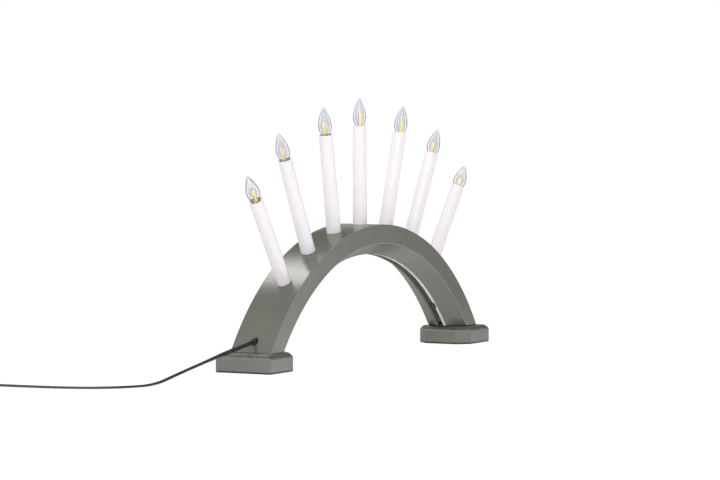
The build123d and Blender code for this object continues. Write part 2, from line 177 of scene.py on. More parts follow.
def mesh_object(
    name: str, vertices: Sequence[Sequence[float]], faces: Sequence[Sequence[int]]
) -> Piece:
    """Make an object from points and faces, with its faces pointing outwards.

    Args:
        name: Name of the object and its mesh.
        vertices: Points, in metres.
        faces: Indices of each face's points.

    Returns:
        The new object, linked to the scene.
    """
    mesh = bpy.data.meshes.new(name)
    mesh.from_pydata([tuple(vertex) for vertex in vertices], [], [tuple(face) for face in faces])
    work = bmesh.new()
    work.from_mesh(mesh)
    bmesh.ops.remove_doubles(work, verts=work.verts, dist=MICRON)
    bmesh.ops.recalc_face_normals(work, faces=work.faces)
    work.to_mesh(mesh)
    work.free()
    return link(name, mesh)


def link(name: str, mesh: bpy.types.Mesh) -> Piece:
    """Put a mesh into the scene as an object at the origin."""
    piece = bpy.data.objects.new(name, mesh)
    bpy.context.scene.collection.objects.link(piece)
    return piece


def turned(name: str, profile: Outline, segments: int) -> Piece:
    """Turn a closed profile about the Z axis.

    Args:
        name: Name of the piece.
        profile: Radius and height of each point; points on the axis have radius zero.
        segments: Number of edges round the piece.

    Returns:
        The closed piece.
    """
    vertices: list[tuple[float, float, float]] = []
    rings: list[list[int]] = []
    for radius, height in profile:
        count = 1 if radius < MICRON else segments
        first = len(vertices)
        for index in range(count):
            angle = 2 * pi * index / count
            vertices.append((radius * cos(angle), radius * sin(angle), height))
        rings.append([first + index % count for index in range(segments)])
    faces = []
    for ring, following in zip(rings, rings[1:] + rings[:1]):
        for index in range(segments):
            beside = (index + 1) % segments
            corners = [ring[index], ring[beside], following[beside], following[index]]
            distinct = list(dict.fromkeys(corners))
            if len(distinct) > 2:
                faces.append(distinct)
    return mesh_object(name, vertices, faces)


def lofted(name: str, rings: Sequence[Sequence[Sequence[float]]]) -> Piece:
    """Join rings of points into a closed skin, with a flat face at each end.

    Args:
        name: Name of the piece.
        rings: The rings in order, all with as many points.

    Returns:
        The closed piece.
    """
    count = len(rings[0])
    vertices = [point for ring in rings for point in ring]
    faces = [list(range(count)), list(range(len(vertices) - count, len(vertices)))]
    for row in range(len(rings) - 1):
        for index in range(count):
            beside = (index + 1) % count
            first, second = row * count, (row + 1) * count
            faces.append([first + index, first + beside, second + beside, second + index])
    return mesh_object(name, vertices, faces)


def gathered(name: str, shapes: Sequence[tuple[Outline, Matrix]], segments: int) -> Piece:
    """Turn several closed profiles and gather them in one piece.

    Args:
        name: Name of the piece.
        shapes: Each shape's profile, and the frame that it is turned in.
        segments: Number of edges round each shape.

    Returns:
        The piece.
    """
    whole = bmesh.new()
    for profile, place in shapes:
        shape = turned(f"{name}_blank", profile, segments)
        shape.data.transform(place)
        whole.from_mesh(shape.data)
        discard(shape)
    mesh = bpy.data.meshes.new(name)
    whole.to_mesh(mesh)
    whole.free()
    return link(name, mesh)


def drawn_lines(name: str, strands: Sequence[Sequence[Place | Vector]]) -> Piece:
    """Make a piece of bare lines, one through each row of points."""
    vertices = []
    edges = []
    for strand in strands:
        first = len(vertices)
        vertices += [tuple(point) for point in strand]
        edges += [(first + step, first + step + 1) for step in range(len(strand) - 1)]
    mesh = bpy.data.meshes.new(name)
    mesh.from_pydata(vertices, edges, [])
    return link(name, mesh)


def settled(piece: Piece) -> Piece:
    """Replace a piece by the plain mesh that its modifiers make, and take the modifiers off."""
    graph = bpy.context.evaluated_depsgraph_get()
    mesh = bpy.data.meshes.new_from_object(piece.evaluated_get(graph))
    old = piece.data
    piece.modifiers.clear()
    piece.data = mesh
    mesh.name = piece.name
    bpy.data.meshes.remove(old)
    return piece


def discard(piece: Piece) -> None:
    """Take a helper object and its mesh out of the file."""
    mesh = piece.data
    bpy.data.objects.remove(piece)
    bpy.data.meshes.remove(mesh)


def cut(piece: Piece, tools: Sequence[Piece]) -> Piece:
    """Cut the shapes of other closed meshes out of a piece.

    Args:
        piece: The piece to cut.
        tools: The shapes that are taken away, which are used up.

    Returns:
        The piece.
    """
    for tool in tools:
        modifier = piece.modifiers.new(tool.name, "BOOLEAN")
        modifier.operation = "DIFFERENCE"
        modifier.solver = "EXACT"
        modifier.object = tool
    settled(piece)
    for tool in tools:
        discard(tool)
    return piece


def soften(piece: Piece, width: float, segments: int, angle: float) -> Piece:
    """Round the sharp edges of a piece.

    Args:
        piece: The piece.
        width: How far the rounding reaches from an edge.
        segments: Number of faces across the rounding.
        angle: Edges sharper than this are rounded, in degrees.

    Returns:
        The piece.
    """
    modifier = piece.modifiers.new("soften", "BEVEL")
    modifier.width = width
    modifier.segments = segments
    modifier.limit_method = "ANGLE"
    modifier.angle_limit = radians(angle)
    modifier.miter_outer = "MITER_ARC"
    return settled(piece)


def shade(piece: Piece, angle: float) -> Piece:
    """Shade a piece smoothly, apart from edges sharper than an angle in degrees."""
    piece.data.shade_smooth()
    piece.data.set_sharp_from_angle(angle=radians(angle))
    modifier = piece.modifiers.new("weigh_normals", "WEIGHTED_NORMAL")
    modifier.keep_sharp = True
    return settled(piece)


def placed(name: str, profile: Outline, segments: int, place: Matrix, crease: float) -> Piece:
    """Turn a closed profile, carry it to its place and shade it.

    Args:
        name: Name of the piece.
        profile: Radius and height of each point.
        segments: Number of edges round the piece.
        place: Frame that the piece is carried to.
        crease: Edges sharper than this stay sharp, in degrees.

    Returns:
        The piece.
    """
    piece = turned(name, profile, segments)
    piece.data.transform(place)
    return shade(piece, crease)


def fit(
    piece: Piece,
    material: Material | None,
    slot: str,
    *nodes: str,
    body: str = ARCH_BODY,
) -> Piece:
    """Give a finished piece its material and its body, and hide the CAD nodes that it stands for.

    Args:
        piece: The piece, with its mesh final.
        material: Its material, or None where the mesh has its materials already.
        slot: Name of the record's material slot; not used.
        nodes: Names of the CAD nodes that it replaces.
        body: Name of the body that it rides on.

    Returns:
        The piece.
    """
    if material is not None:
        piece.data.materials.clear()
        piece.data.materials.append(material)
    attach(piece, body)
    if nodes:
        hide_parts(*nodes)
    LOG.info("%s: %d faces, rides on %s", piece.name, len(piece.data.polygons), body)
    return piece


# Node trees

FLOAT = "NodeSocketFloat"
VECTOR = "NodeSocketVector"
COLOUR = "NodeSocketColor"
GEOMETRY = "NodeSocketGeometry"


class Graph:
    """Adds nodes to a tree and joins their sockets."""

    def __init__(self, tree: Tree) -> None:
        """Keep the tree that the nodes go into."""
        self.tree = tree

    def node(self, kind: str, settings: dict | None = None, **inputs: object) -> bpy.types.Node:
        """Add a node.

        Args:
            kind: Blender's name of the node's type.
            settings: Attributes of the node itself.
            inputs: Values or sockets for its inputs, by name with _ for a space.

        Returns:
            The new node.
        """
        node = self.tree.nodes.new(kind)
        for name, value in (settings or {}).items():
            setattr(node, name, value)
        for name, value in inputs.items():
            self.put(node.inputs[name.replace("_", " ")], value)
        return node

    def group(self, tree: Tree, **inputs: object) -> bpy.types.Node:
        """Add one of the shared groups, with its own values."""
        return self.node("ShaderNodeGroup", {"node_tree": tree}, **inputs)

    def put(self, socket: Socket, value: object) -> None:
        """Link a socket to an input, or set the input's own value."""
        if isinstance(value, Socket):
            self.tree.links.new(value, socket)
        elif value is not None:
            socket.default_value = value

    def times(self, first: object, second: object) -> Socket:
        """Multiply two values."""
        return self.math("MULTIPLY", first, second)

    def math(self, operation: str, first: object, second: object = None, third: object = None) -> Socket:
        """Add a maths node and return its result."""
        node = self.tree.nodes.new("ShaderNodeMath")
        node.operation = operation
        for socket, value in zip(node.inputs, (first, second, third)):
            self.put(socket, value)
        return node.outputs[0]

    def vector(self, operation: str, first: object, second: object = None) -> Socket:
        """Add a vector maths node and return its vector."""
        node = self.tree.nodes.new("ShaderNodeVectorMath")
        node.operation = operation
        self.put(node.inputs[0], first)
        self.put(node.inputs["Scale"] if operation == "SCALE" else node.inputs[1], second)
        return node.outputs["Vector"]

    def parts(self, vector: Socket) -> tuple[Socket, ...]:
        """Split a vector into its three values."""
        return tuple(self.node("ShaderNodeSeparateXYZ", Vector=vector).outputs)

    def joined(self, x: object, y: object, z: object) -> Socket:
        """Join three values into a vector."""
        return self.node("ShaderNodeCombineXYZ", X=x, Y=y, Z=z).outputs[0]

    def noise(self, vector: Socket, scale: object, detail: float) -> Socket:
        """Add a noise texture and return its value."""
        return self.node("ShaderNodeTexNoise", Vector=vector, Scale=scale, Detail=detail).outputs[0]

    def ranged(
        self, value: object, low: object, high: object, start: object = 0.0, end: object = 1.0
    ) -> Socket:
        """Carry a value from one range to another and return it."""
        node = self.tree.nodes.new("ShaderNodeMapRange")
        ends = {"Value": value, "From Min": start, "From Max": end, "To Min": low, "To Max": high}
        for name, entry in ends.items():
            self.put(node.inputs[name], entry)
        return node.outputs[0]

    def blend(self, share: object, first: object, second: object) -> Socket:
        """Mix two colours and return the result. The node's colour sockets share their names with others."""
        mix = self.node("ShaderNodeMix", {"data_type": "RGBA"}, Factor=share)
        self.put(mix.inputs[6], first)
        self.put(mix.inputs[7], second)
        return mix.outputs[2]


def empty_graph(owner: Material | bpy.types.World) -> Graph:
    """Turn on the nodes of a material or a world, and take the usual ones out."""
    owner.use_nodes = True
    owner.node_tree.nodes.clear()
    return Graph(owner.node_tree)


def opaque(colour: Colour) -> tuple[float, ...]:
    """Colour as a socket takes it, with full alpha."""
    return (*colour, 1.0)


def socket_type(usual: object) -> str:
    """Name the type of socket that holds a value. A string is such a name already."""
    if isinstance(usual, str):
        return usual
    if isinstance(usual, tuple):
        return VECTOR if len(usual) == 3 else COLOUR
    return "NodeSocketInt" if isinstance(usual, int) else FLOAT


def new_group(name: str, kind: str, inputs: dict[str, object], outputs: dict[str, str]) -> tuple:
    """Start a node group.

    Args:
        name: Name of the group.
        kind: Type of the tree.
        inputs: Usual value of each input, or the type of its socket.
        outputs: Type of each output's socket.

    Returns:
        The tree, its Graph, and the sockets of its input and output nodes.
    """
    tree = bpy.data.node_groups.new(name, kind)
    for label, usual in inputs.items():
        made = tree.interface.new_socket(label, in_out="INPUT", socket_type=socket_type(usual))
        if not isinstance(usual, str):
            made.default_value = usual
    for label, socket in outputs.items():
        tree.interface.new_socket(label, in_out="OUTPUT", socket_type=socket)
    source = tree.nodes.new("NodeGroupInput").outputs
    sink = tree.nodes.new("NodeGroupOutput").inputs
    return tree, Graph(tree), source, sink


def geometry_group(name: str, **values: object) -> tuple:
    """Start a geometry group that takes a mesh, some values and a material."""
    inputs = {"Geometry": GEOMETRY, **values, "Material": "NodeSocketMaterial"}
    return new_group(name, "GeometryNodeTree", inputs, {"Geometry": GEOMETRY})


def shader_group(name: str, outputs: dict[str, str], **values: object) -> tuple:
    """Start a shader group that takes a place and some values."""
    return new_group(name, "ShaderNodeTree", {"Vector": VECTOR, **values}, outputs)


class GeometryTools:
    """Geometry Nodes trees for what repeats or follows a path."""

    thread_run_in_share = 0.6
    upright_below = 0.3
    shortest_fibre_share = 0.35
    rib_sides = 48
    rib_section_sides = 12

    def __init__(self) -> None:
        """Build each tree once."""
        self.thread = self._thread()
        self.set_out = self._set_out()
        self.wire = self._wire()
        self.felt = self._felt()
        self.ribs = self._ribs()

    @staticmethod
    def _finish(graph: Graph, geometry: Socket, source: object, sink: object) -> None:
        """End a tree: real geometry, smooth, in its material."""
        real = graph.node("GeometryNodeRealizeInstances", Geometry=geometry).outputs[0]
        smooth = graph.node("GeometryNodeSetShadeSmooth", Geometry=real).outputs[0]
        dressed = graph.node("GeometryNodeSetMaterial", Geometry=smooth, Material=source["Material"])
        graph.put(sink["Geometry"], dressed.outputs[0])

    @staticmethod
    def _with_source(graph: Graph, added: Socket, source: object) -> Socket:
        """Join what a tree has made to the mesh that came in."""
        whole = graph.node("GeometryNodeJoinGeometry")
        graph.put(whole.inputs[0], added)
        graph.put(whole.inputs[0], source["Geometry"])
        return whole.outputs[0]

    def _thread(self) -> Tree:
        """Press a rolled thread into a turned sheet wall, or cut one into a solid shank."""
        tree, graph, source, sink = geometry_group(
            "Rolled_thread", Pitch=1.814 * MM, Depth=0.3 * MM, From=0.0, To=10 * MM
        )
        x, y, z = graph.parts(graph.node("GeometryNodeInputPosition").outputs[0])
        turn = graph.math("DIVIDE", graph.math("ARCTAN2", y, x), 2 * pi)
        phase = graph.math("SUBTRACT", graph.math("DIVIDE", z, source["Pitch"]), turn)
        wave = graph.math("COSINE", graph.times(phase, 2 * pi))
        press = graph.math("MULTIPLY_ADD", wave, -0.5, 0.5)
        run_in = graph.times(source["Pitch"], self.thread_run_in_share)
        entry = graph.ranged(z, 0.0, 1.0, source["From"], graph.math("ADD", source["From"], run_in))
        leaving = graph.ranged(z, 1.0, 0.0, graph.math("SUBTRACT", source["To"], run_in), source["To"])
        share = graph.times(graph.times(entry, leaving), press)
        depth = graph.times(share, source["Depth"])
        outward = graph.vector("NORMALIZE", graph.joined(x, y, 0.0))
        offset = graph.vector("SCALE", outward, graph.times(depth, -1.0))
        moved = graph.node("GeometryNodeSetPosition", Geometry=source["Geometry"], Offset=offset)
        self._finish(graph, moved.outputs[0], source, sink)
        return tree

    def _set_out(self) -> Tree:
        """Set one piece out on each point of a mesh, like screws in their holes."""
        tree, graph, source, sink = geometry_group("Set_out", Piece="NodeSocketObject", Turn=0.7)
        piece = graph.node("GeometryNodeObjectInfo", Object=source["Piece"]).outputs["Geometry"]
        index = graph.node("GeometryNodeInputIndex").outputs[0]
        turn = graph.joined(0.0, 0.0, graph.times(index, source["Turn"]))
        made = graph.node(
            "GeometryNodeInstanceOnPoints", Points=source["Geometry"], Instance=piece, Rotation=turn
        )
        self._finish(graph, made.outputs[0], source, sink)
        return tree

    def _wire(self) -> Tree:
        """Lay a wire along a line, a little unevenly."""
        tree, graph, source, sink = geometry_group(
            "Laid_wire", Radius=1 * MM, Step=1.5 * MM, Wander=0.3 * MM, Waves=60.0, Sides=16
        )
        line = graph.node("GeometryNodeMeshToCurve", Mesh=source["Geometry"]).outputs[0]
        spaced = graph.node(
            "GeometryNodeResampleCurve", {"mode": "LENGTH"}, Curve=line, Length=source["Step"]
        )
        place = graph.node("GeometryNodeInputPosition").outputs[0]
        noise = graph.node("ShaderNodeTexNoise", Vector=place, Scale=source["Waves"], Detail=1.0)
        centred = graph.vector("SUBTRACT", noise.outputs["Color"], (0.5, 0.5, 0.5))
        offset = graph.vector("SCALE", centred, graph.times(source["Wander"], 2.0))
        moved = graph.node("GeometryNodeSetPosition", Geometry=spaced.outputs[0], Offset=offset)
        ring = graph.node(
            "GeometryNodeCurvePrimitiveCircle", Resolution=source["Sides"], Radius=source["Radius"]
        )
        skin = graph.node(
            "GeometryNodeCurveToMesh",
            Curve=moved.outputs[0],
            Profile_Curve=ring.outputs[0],
            Fill_Caps=True,
        )
        self._finish(graph, skin.outputs[0], source, sink)
        return tree

    def _felt(self) -> Tree:
        """Add short fibres to the upright sides of a felt pad."""
        tree, graph, source, sink = geometry_group(
            "Felt_fibres", Density=2.2e6, Length=0.14 * MM, Thickness=0.04 * MM, Seed=7
        )
        normal = graph.node("GeometryNodeInputNormal").outputs[0]
        tilt = graph.math("ABSOLUTE", graph.parts(normal)[2])
        spread = graph.node(
            "GeometryNodeDistributePointsOnFaces",
            Mesh=source["Geometry"],
            Selection=graph.math("LESS_THAN", tilt, self.upright_below),
            Density=source["Density"],
            Seed=source["Seed"],
        )
        fibre = graph.node(
            "GeometryNodeMeshCone",
            Vertices=3,
            Radius_Top=0.0,
            Radius_Bottom=source["Thickness"],
            Depth=source["Length"],
        )
        size = graph.node("FunctionNodeRandomValue", {"data_type": "FLOAT"}, Seed=source["Seed"])
        scale = graph.ranged(size.outputs["Value"], self.shortest_fibre_share, 1.0)
        fibres = graph.node(
            "GeometryNodeInstanceOnPoints",
            Points=spread.outputs["Points"],
            Instance=fibre.outputs["Mesh"],
            Rotation=spread.outputs["Rotation"],
            Scale=graph.joined(1.0, 1.0, scale),
        )
        self._finish(graph, self._with_source(graph, fibres.outputs[0], source), source, sink)
        return tree

    def _ribs(self) -> Tree:
        """Set tapering ribs along the X axis of a strain relief."""
        tree, graph, source, sink = geometry_group(
            "Relief_ribs",
            Count=5,
            Start=(0.0, 0.0, 0.0),
            Step=(2 * MM, 0.0, 0.0),
            First_radius=3 * MM,
            Growth=0.3 * MM,
            Rib=0.5 * MM,
        )
        line = graph.node(
            "GeometryNodeMeshLine",
            Count=source["Count"],
            Start_Location=source["Start"],
            Offset=source["Step"],
        )
        ring = graph.node("GeometryNodeCurvePrimitiveCircle", Resolution=self.rib_sides, Radius=1.0)
        index = graph.node("GeometryNodeInputIndex").outputs[0]
        radius = graph.math("MULTIPLY_ADD", index, source["Growth"], source["First_radius"])
        rings = graph.node(
            "GeometryNodeInstanceOnPoints",
            Points=line.outputs[0],
            Instance=ring.outputs[0],
            Rotation=(0.0, pi / 2, 0.0),
            Scale=graph.joined(radius, radius, radius),
        )
        real = graph.node("GeometryNodeRealizeInstances", Geometry=rings.outputs[0]).outputs[0]
        section = graph.node(
            "GeometryNodeCurvePrimitiveCircle", Resolution=self.rib_section_sides, Radius=source["Rib"]
        )
        skin = graph.node("GeometryNodeCurveToMesh", Curve=real, Profile_Curve=section.outputs[0])
        self._finish(graph, self._with_source(graph, skin.outputs[0], source), source, sink)
        return tree

    def laid(
        self,
        name: str,
        strands: Sequence[Sequence[Place | Vector]],
        material: Material,
        place: Matrix | None = None,
        **values: object,
    ) -> Piece:
        """Lay wires along rows of points.

        Args:
            name: Name of the piece.
            strands: The points of each wire.
            material: The wires' material.
            place: Frame that the finished wires are carried to.
            values: The inputs of the wire tree by name.

        Returns:
            The shaded wires.
        """
        wires = self.apply(drawn_lines(name, strands), self.wire, Material=material, **values)
        if place is not None:
            wires.data.transform(place)
        return shade(wires, CORD_CREASE)

    @staticmethod
    def apply(piece: Piece, tree: Tree, **values: object) -> Piece:
        """Run a tree on a piece and keep the plain mesh that it makes.

        Args:
            piece: The piece that goes in as Geometry.
            tree: One of the trees of this class.
            values: The tree's inputs by name.

        Returns:
            The same object with its new mesh.
        """
        modifier = piece.modifiers.new(tree.name, "NODES")
        modifier.node_group = tree
        for item in tree.interface.items_tree:
            if item.item_type == "SOCKET" and item.in_out == "INPUT" and item.name in values:
                modifier[item.identifier] = values[item.name]
        return settled(piece)


# Finishes


class ShaderTools:
    """Shader node groups that several finishes share."""

    mottle_details = (4.0, 2.0)
    mottle_finer = 7.0
    mottle_fine_share = 0.35
    mottle_range = (0.36, 0.64)
    drift_scale = 24.0
    ridges_finer = 2.7
    ridges_fine_share = 0.4
    pore_range = (0.28, 0.42)
    peel_broad_share = 2.0
    smudge_details = (5.0, 1.0)
    smudge_finer = 11.0
    smudge_fine_share = 0.3
    smudge_range = (0.35, 0.65)

    def __init__(self) -> None:
        """Build each group once."""
        self.ring_wrap = self._ring_wrap()
        self.mottle = self._mottle()
        self.grain = self._grain()
        self.peel = self._peel()
        self.smudge = self._smudge()

    @staticmethod
    def _ring_wrap() -> Tree:
        """Unroll places round the bow's ring, so that a grain can follow the arch."""
        tree, graph, source, sink = shader_group("Ring_wrap", {"Vector": VECTOR}, Centre=0.0, Radius=0.26)
        x, y, z = graph.parts(source["Vector"])
        height = graph.math("SUBTRACT", z, source["Centre"])
        along = graph.times(graph.math("ARCTAN2", x, height), source["Radius"])
        square = graph.math("ADD", graph.times(x, x), graph.times(height, height))
        graph.put(sink["Vector"], graph.joined(along, y, graph.math("SQRT", square)))
        return tree

    def _mottle(self) -> Tree:
        """Vary a colour softly between two near shades."""
        tree, graph, source, sink = shader_group(
            "Mottle",
            {"Color": COLOUR},
            Dark=(0.1, 0.1, 0.1, 1.0),
            Light=(0.2, 0.2, 0.2, 1.0),
            Scale=40.0,
        )
        broad = graph.noise(source["Vector"], source["Scale"], self.mottle_details[0])
        finer = graph.times(source["Scale"], self.mottle_finer)
        fine = graph.noise(source["Vector"], finer, self.mottle_details[1])
        rest = graph.times(broad, 1.0 - self.mottle_fine_share)
        both = graph.math("MULTIPLY_ADD", fine, self.mottle_fine_share, rest)
        mask = graph.ranged(both, 0.0, 1.0, *self.mottle_range)
        graph.put(sink["Color"], graph.blend(mask, source["Dark"], source["Light"]))
        return tree

    def _grain(self) -> Tree:
        """Long fine ridges, like wood grain under paint or marks from a drawn profile."""
        tree, graph, source, sink = shader_group(
            "Grain", {"Height": FLOAT, "Pores": FLOAT}, Stretch=(30.0, 900.0, 900.0), Waver=0.002
        )
        drift = graph.node(
            "ShaderNodeTexNoise", Vector=source["Vector"], Scale=self.drift_scale, Detail=2.0
        )
        shift = graph.vector("SCALE", drift.outputs["Color"], source["Waver"])
        place = graph.vector("ADD", source["Vector"], shift)
        stretched = graph.vector("MULTIPLY", place, source["Stretch"])
        ridges = graph.noise(stretched, 1.0, 4.0)
        finer = graph.noise(graph.vector("SCALE", stretched, self.ridges_finer), 1.0, 2.0)
        graph.put(sink["Height"], graph.math("MULTIPLY_ADD", finer, self.ridges_fine_share, ridges))
        graph.put(sink["Pores"], graph.ranged(finer, 1.0, 0.0, *self.pore_range))
        return tree

    def _peel(self) -> Tree:
        """The slight unevenness of a sprayed or moulded skin."""
        tree, graph, source, sink = shader_group("Peel", {"Height": FLOAT}, Scale=500.0, Waves=60.0)
        fine = graph.noise(source["Vector"], source["Scale"], 2.0)
        broad = graph.noise(source["Vector"], source["Waves"], 1.0)
        graph.put(sink["Height"], graph.math("MULTIPLY_ADD", broad, self.peel_broad_share, fine))
        return tree

    def _smudge(self) -> Tree:
        """Roughness that handling and uneven drying leave on a smooth surface."""
        tree, graph, source, sink = shader_group(
            "Smudge", {"Roughness": FLOAT}, Scale=30.0, Smooth=0.2, Rough=0.3
        )
        cloud = graph.noise(source["Vector"], source["Scale"], self.smudge_details[0])
        finer = graph.times(source["Scale"], self.smudge_finer)
        speck = graph.noise(source["Vector"], finer, self.smudge_details[1])
        rest = graph.times(cloud, 1.0 - self.smudge_fine_share)
        both = graph.math("MULTIPLY_ADD", speck, self.smudge_fine_share, rest)
        rough = graph.ranged(both, source["Smooth"], source["Rough"], *self.smudge_range)
        graph.put(sink["Roughness"], rough)
        return tree


@dataclass(frozen=True)
class Finish:
    """A finish that is varied by the shared groups: two near shades, a roughness range and a relief."""

    name: str
    dark: Colour
    light: Colour
    smooth: float
    rough: float
    metallic: float = 0.0
    mottle_scale: float = 60.0
    peel_scale: float = 700.0
    peel_waves: float = 60.0
    peel_height: float = 6 * MICRON
    grain_stretch: Colour | None = None
    grain_height: float = 0.0
    pore_depth: float = 0.0
    pore_shade: float = 0.45
    pattern: Pattern = Pattern.STRAIGHT
    coat: float = 0.0
    coat_roughness: float = 0.03
    sheen: float = 0.0
    glow: float = 0.0
    transmission: float = 0.0
    ior: float = 1.5

    def make(self, tools: ShaderTools, ring: "Ring") -> Material:
        """Build the material.

        Args:
            tools: The shared shader groups.
            ring: The bow's ring, which a grain may follow.

        Returns:
            The new material.
        """
        material = bpy.data.materials.new(self.name)
        graph = empty_graph(material)
        shader = graph.node("ShaderNodeBsdfPrincipled")
        graph.node("ShaderNodeOutputMaterial", Surface=shader.outputs[0])
        place = graph.node("ShaderNodeTexCoord").outputs["Object"]
        if self.pattern is Pattern.RING:
            wrapped = graph.group(tools.ring_wrap, Vector=place, Centre=ring.centre, Radius=ring.outer)
            place = wrapped.outputs["Vector"]
        dark, light = opaque(self.dark), opaque(self.light)
        mottle = graph.group(tools.mottle, Vector=place, Dark=dark, Light=light, Scale=self.mottle_scale)
        colour = self.tinted(graph, mottle.outputs["Color"])
        smudge = graph.group(tools.smudge, Vector=place, Smooth=self.smooth, Rough=self.rough)
        peel = graph.group(tools.peel, Vector=place, Scale=self.peel_scale, Waves=self.peel_waves)
        height = graph.times(peel.outputs["Height"], self.peel_height)
        if self.grain_stretch is not None:
            grain = graph.group(tools.grain, Vector=place, Stretch=self.grain_stretch)
            height = graph.math("MULTIPLY_ADD", grain.outputs["Height"], self.grain_height, height)
            pores = graph.times(grain.outputs["Pores"], self.pore_depth)
            deep = opaque(tuple(value * self.pore_shade for value in self.dark))
            colour = graph.blend(pores, colour, deep)
        bump = graph.node("ShaderNodeBump", Strength=1.0, Distance=1.0, Height=height)
        settings = {
            "Base Color": colour,
            "Roughness": smudge.outputs["Roughness"],
            "Normal": bump.outputs["Normal"],
            "Metallic": self.metallic,
            "Coat Weight": self.coat,
            "Coat Roughness": self.coat_roughness,
            "Sheen Weight": self.sheen,
            "Transmission Weight": self.transmission,
            "IOR": self.ior,
        }
        if self.glow > 0.0:
            settings |= {"Emission Color": colour, "Emission Strength": self.glow}
        for name, value in settings.items():
            graph.put(shader.inputs[name], value)
        return material

    def tinted(self, graph: Graph, colour: Socket) -> Socket:
        """Change the mottled colour further, where a finish paints shade on it. A plain finish keeps it."""
        return colour


@dataclass(frozen=True)
class GlassFinish(Finish):
    """Clear blown glass, with painted shade that deepens at its outline and along a line inside the edge of
    its wall, standing in for its reflections.
    """

    clear_tint: Colour = (0.96, 0.96, 0.98)
    edge_tint: Colour = (0.47, 0.47, 0.54)
    clear_from: float = 0.2
    clear_to: float = 0.34
    edge_from: float = 0.42
    edge_to: float = 0.62
    line_at: float = 0.19
    line_half: float = 0.08
    line_share: float = 0.5

    def tinted(self, graph: Graph, colour: Socket) -> Socket:
        """Paint shade on the glass by how far its wall is turned from the eye: darker at its outline and
        along a line near it.
        """
        facing = graph.node("ShaderNodeLayerWeight", Blend=0.5).outputs["Facing"]
        clear = graph.ranged(facing, 0.0, 1.0, self.clear_from, self.clear_to)
        cleared = graph.blend(clear, colour, opaque(self.clear_tint))
        edge = graph.ranged(facing, 0.0, 1.0, self.edge_from, self.edge_to)
        off_line = graph.math("ABSOLUTE", graph.math("SUBTRACT", facing, self.line_at))
        line = graph.ranged(off_line, self.line_share, 0.0, 0.0, self.line_half)
        return graph.blend(graph.math("MAXIMUM", edge, line), cleared, opaque(self.edge_tint))


PAINT = Finish(
    name="grey_green_paint",
    dark=(0.112, 0.115, 0.091), light=(0.128, 0.132, 0.108),
    smooth=0.19, rough=0.26, mottle_scale=14.0, pattern=Pattern.RING,
    peel_scale=420.0, peel_waves=45.0, peel_height=5 * MICRON,
    grain_stretch=(14.0, 420.0, 420.0), grain_height=7 * MICRON, pore_depth=0.18,
)
FOOT_PAINT = Finish(
    name="grey_green_paint_on_blocks",
    dark=(0.134, 0.137, 0.117), light=(0.158, 0.161, 0.142),
    smooth=0.3, rough=0.4, mottle_scale=22.0,
    peel_scale=420.0, peel_waves=60.0, peel_height=2 * MICRON,
    grain_stretch=(30.0, 60.0, 520.0), grain_height=5 * MICRON, pore_depth=0.35,
)
# Darker paint on the feet's sloping faces: painted shade.
SLOPE_SHADE_PAINT = replace(
    FOOT_PAINT, name="grey_green_paint_on_slopes", dark=(0.082, 0.085, 0.066), light=(0.100, 0.103, 0.084)
)
CANDLE = Finish(
    name="candle_plastic_white",
    dark=(0.86, 0.82, 0.85), light=(0.885, 0.85, 0.88),
    smooth=0.22, rough=0.32, mottle_scale=30.0, pattern=Pattern.RING,
    peel_height=4 * MICRON,
    grain_stretch=(260.0, 260.0, 5.0), grain_height=8 * MICRON,
    sheen=0.3,
)
HOLDER = Finish(
    name="holder_cream",
    dark=(0.64, 0.60, 0.49), light=(0.74, 0.70, 0.60),
    smooth=0.35, rough=0.5, mottle_scale=200.0,
)
BRASS = Finish(
    name="holder_brass",
    dark=(0.48, 0.36, 0.17), light=(0.66, 0.52, 0.27),
    smooth=0.18, rough=0.38, metallic=1.0, mottle_scale=180.0,
)
CAP_METAL = Finish(
    name="lamp_cap_metal",
    dark=(0.56, 0.58, 0.50), light=(0.78, 0.77, 0.69),
    smooth=0.35, rough=0.55, metallic=0.45, mottle_scale=220.0,
)
STEEL = Finish(
    name="screw_steel",
    dark=(0.45, 0.45, 0.44), light=(0.62, 0.61, 0.58),
    smooth=0.2, rough=0.42, metallic=1.0, mottle_scale=260.0,
)
WIRE_STEEL = Finish(
    name="support_wire",
    dark=(0.42, 0.40, 0.44), light=(0.58, 0.56, 0.60),
    smooth=0.25, rough=0.4, metallic=0.6, mottle_scale=400.0,
)
BEAD = Finish(
    name="lamp_bead_black",
    dark=(0.02, 0.02, 0.022), light=(0.05, 0.048, 0.05),
    smooth=0.2, rough=0.4, mottle_scale=300.0,
)
# The disc's faint glow is painted light in the lamp's neck, which the glass keeps dark.
NECK_DISC_GLOW = Finish(
    name="neck_disc_grey_green",
    dark=(0.28, 0.30, 0.24), light=(0.50, 0.50, 0.42),
    smooth=0.4, rough=0.6, mottle_scale=260.0,
    glow=0.12,
)
RUBBER = Finish(
    name="bush_rubber",
    dark=(0.010, 0.010, 0.012), light=(0.022, 0.022, 0.025),
    smooth=0.36, rough=0.5, mottle_scale=150.0,
)
LEAD = Finish(
    name="lead_black_vinyl",
    dark=(0.010, 0.009, 0.016), light=(0.034, 0.032, 0.052),
    smooth=0.2, rough=0.32, mottle_scale=90.0,
    peel_scale=900.0, peel_waves=160.0, peel_height=9 * MICRON,
)
WIRE = Finish(
    name="wire_dark_brown",
    dark=(0.032, 0.025, 0.015), light=(0.085, 0.062, 0.038),
    smooth=0.3, rough=0.5, mottle_scale=110.0,
    peel_waves=220.0, peel_height=12 * MICRON,
)
TAPE = Finish(
    name="splice_black",
    dark=(0.008, 0.007, 0.006), light=(0.020, 0.018, 0.014),
    smooth=0.4, rough=0.65, mottle_scale=350.0,
    peel_height=16 * MICRON,
)
PLUG = Finish(
    name="plug_black",
    dark=(0.011, 0.011, 0.012), light=(0.020, 0.020, 0.022),
    smooth=0.38, rough=0.52, mottle_scale=120.0,
    peel_scale=1400.0, peel_height=7 * MICRON,
)
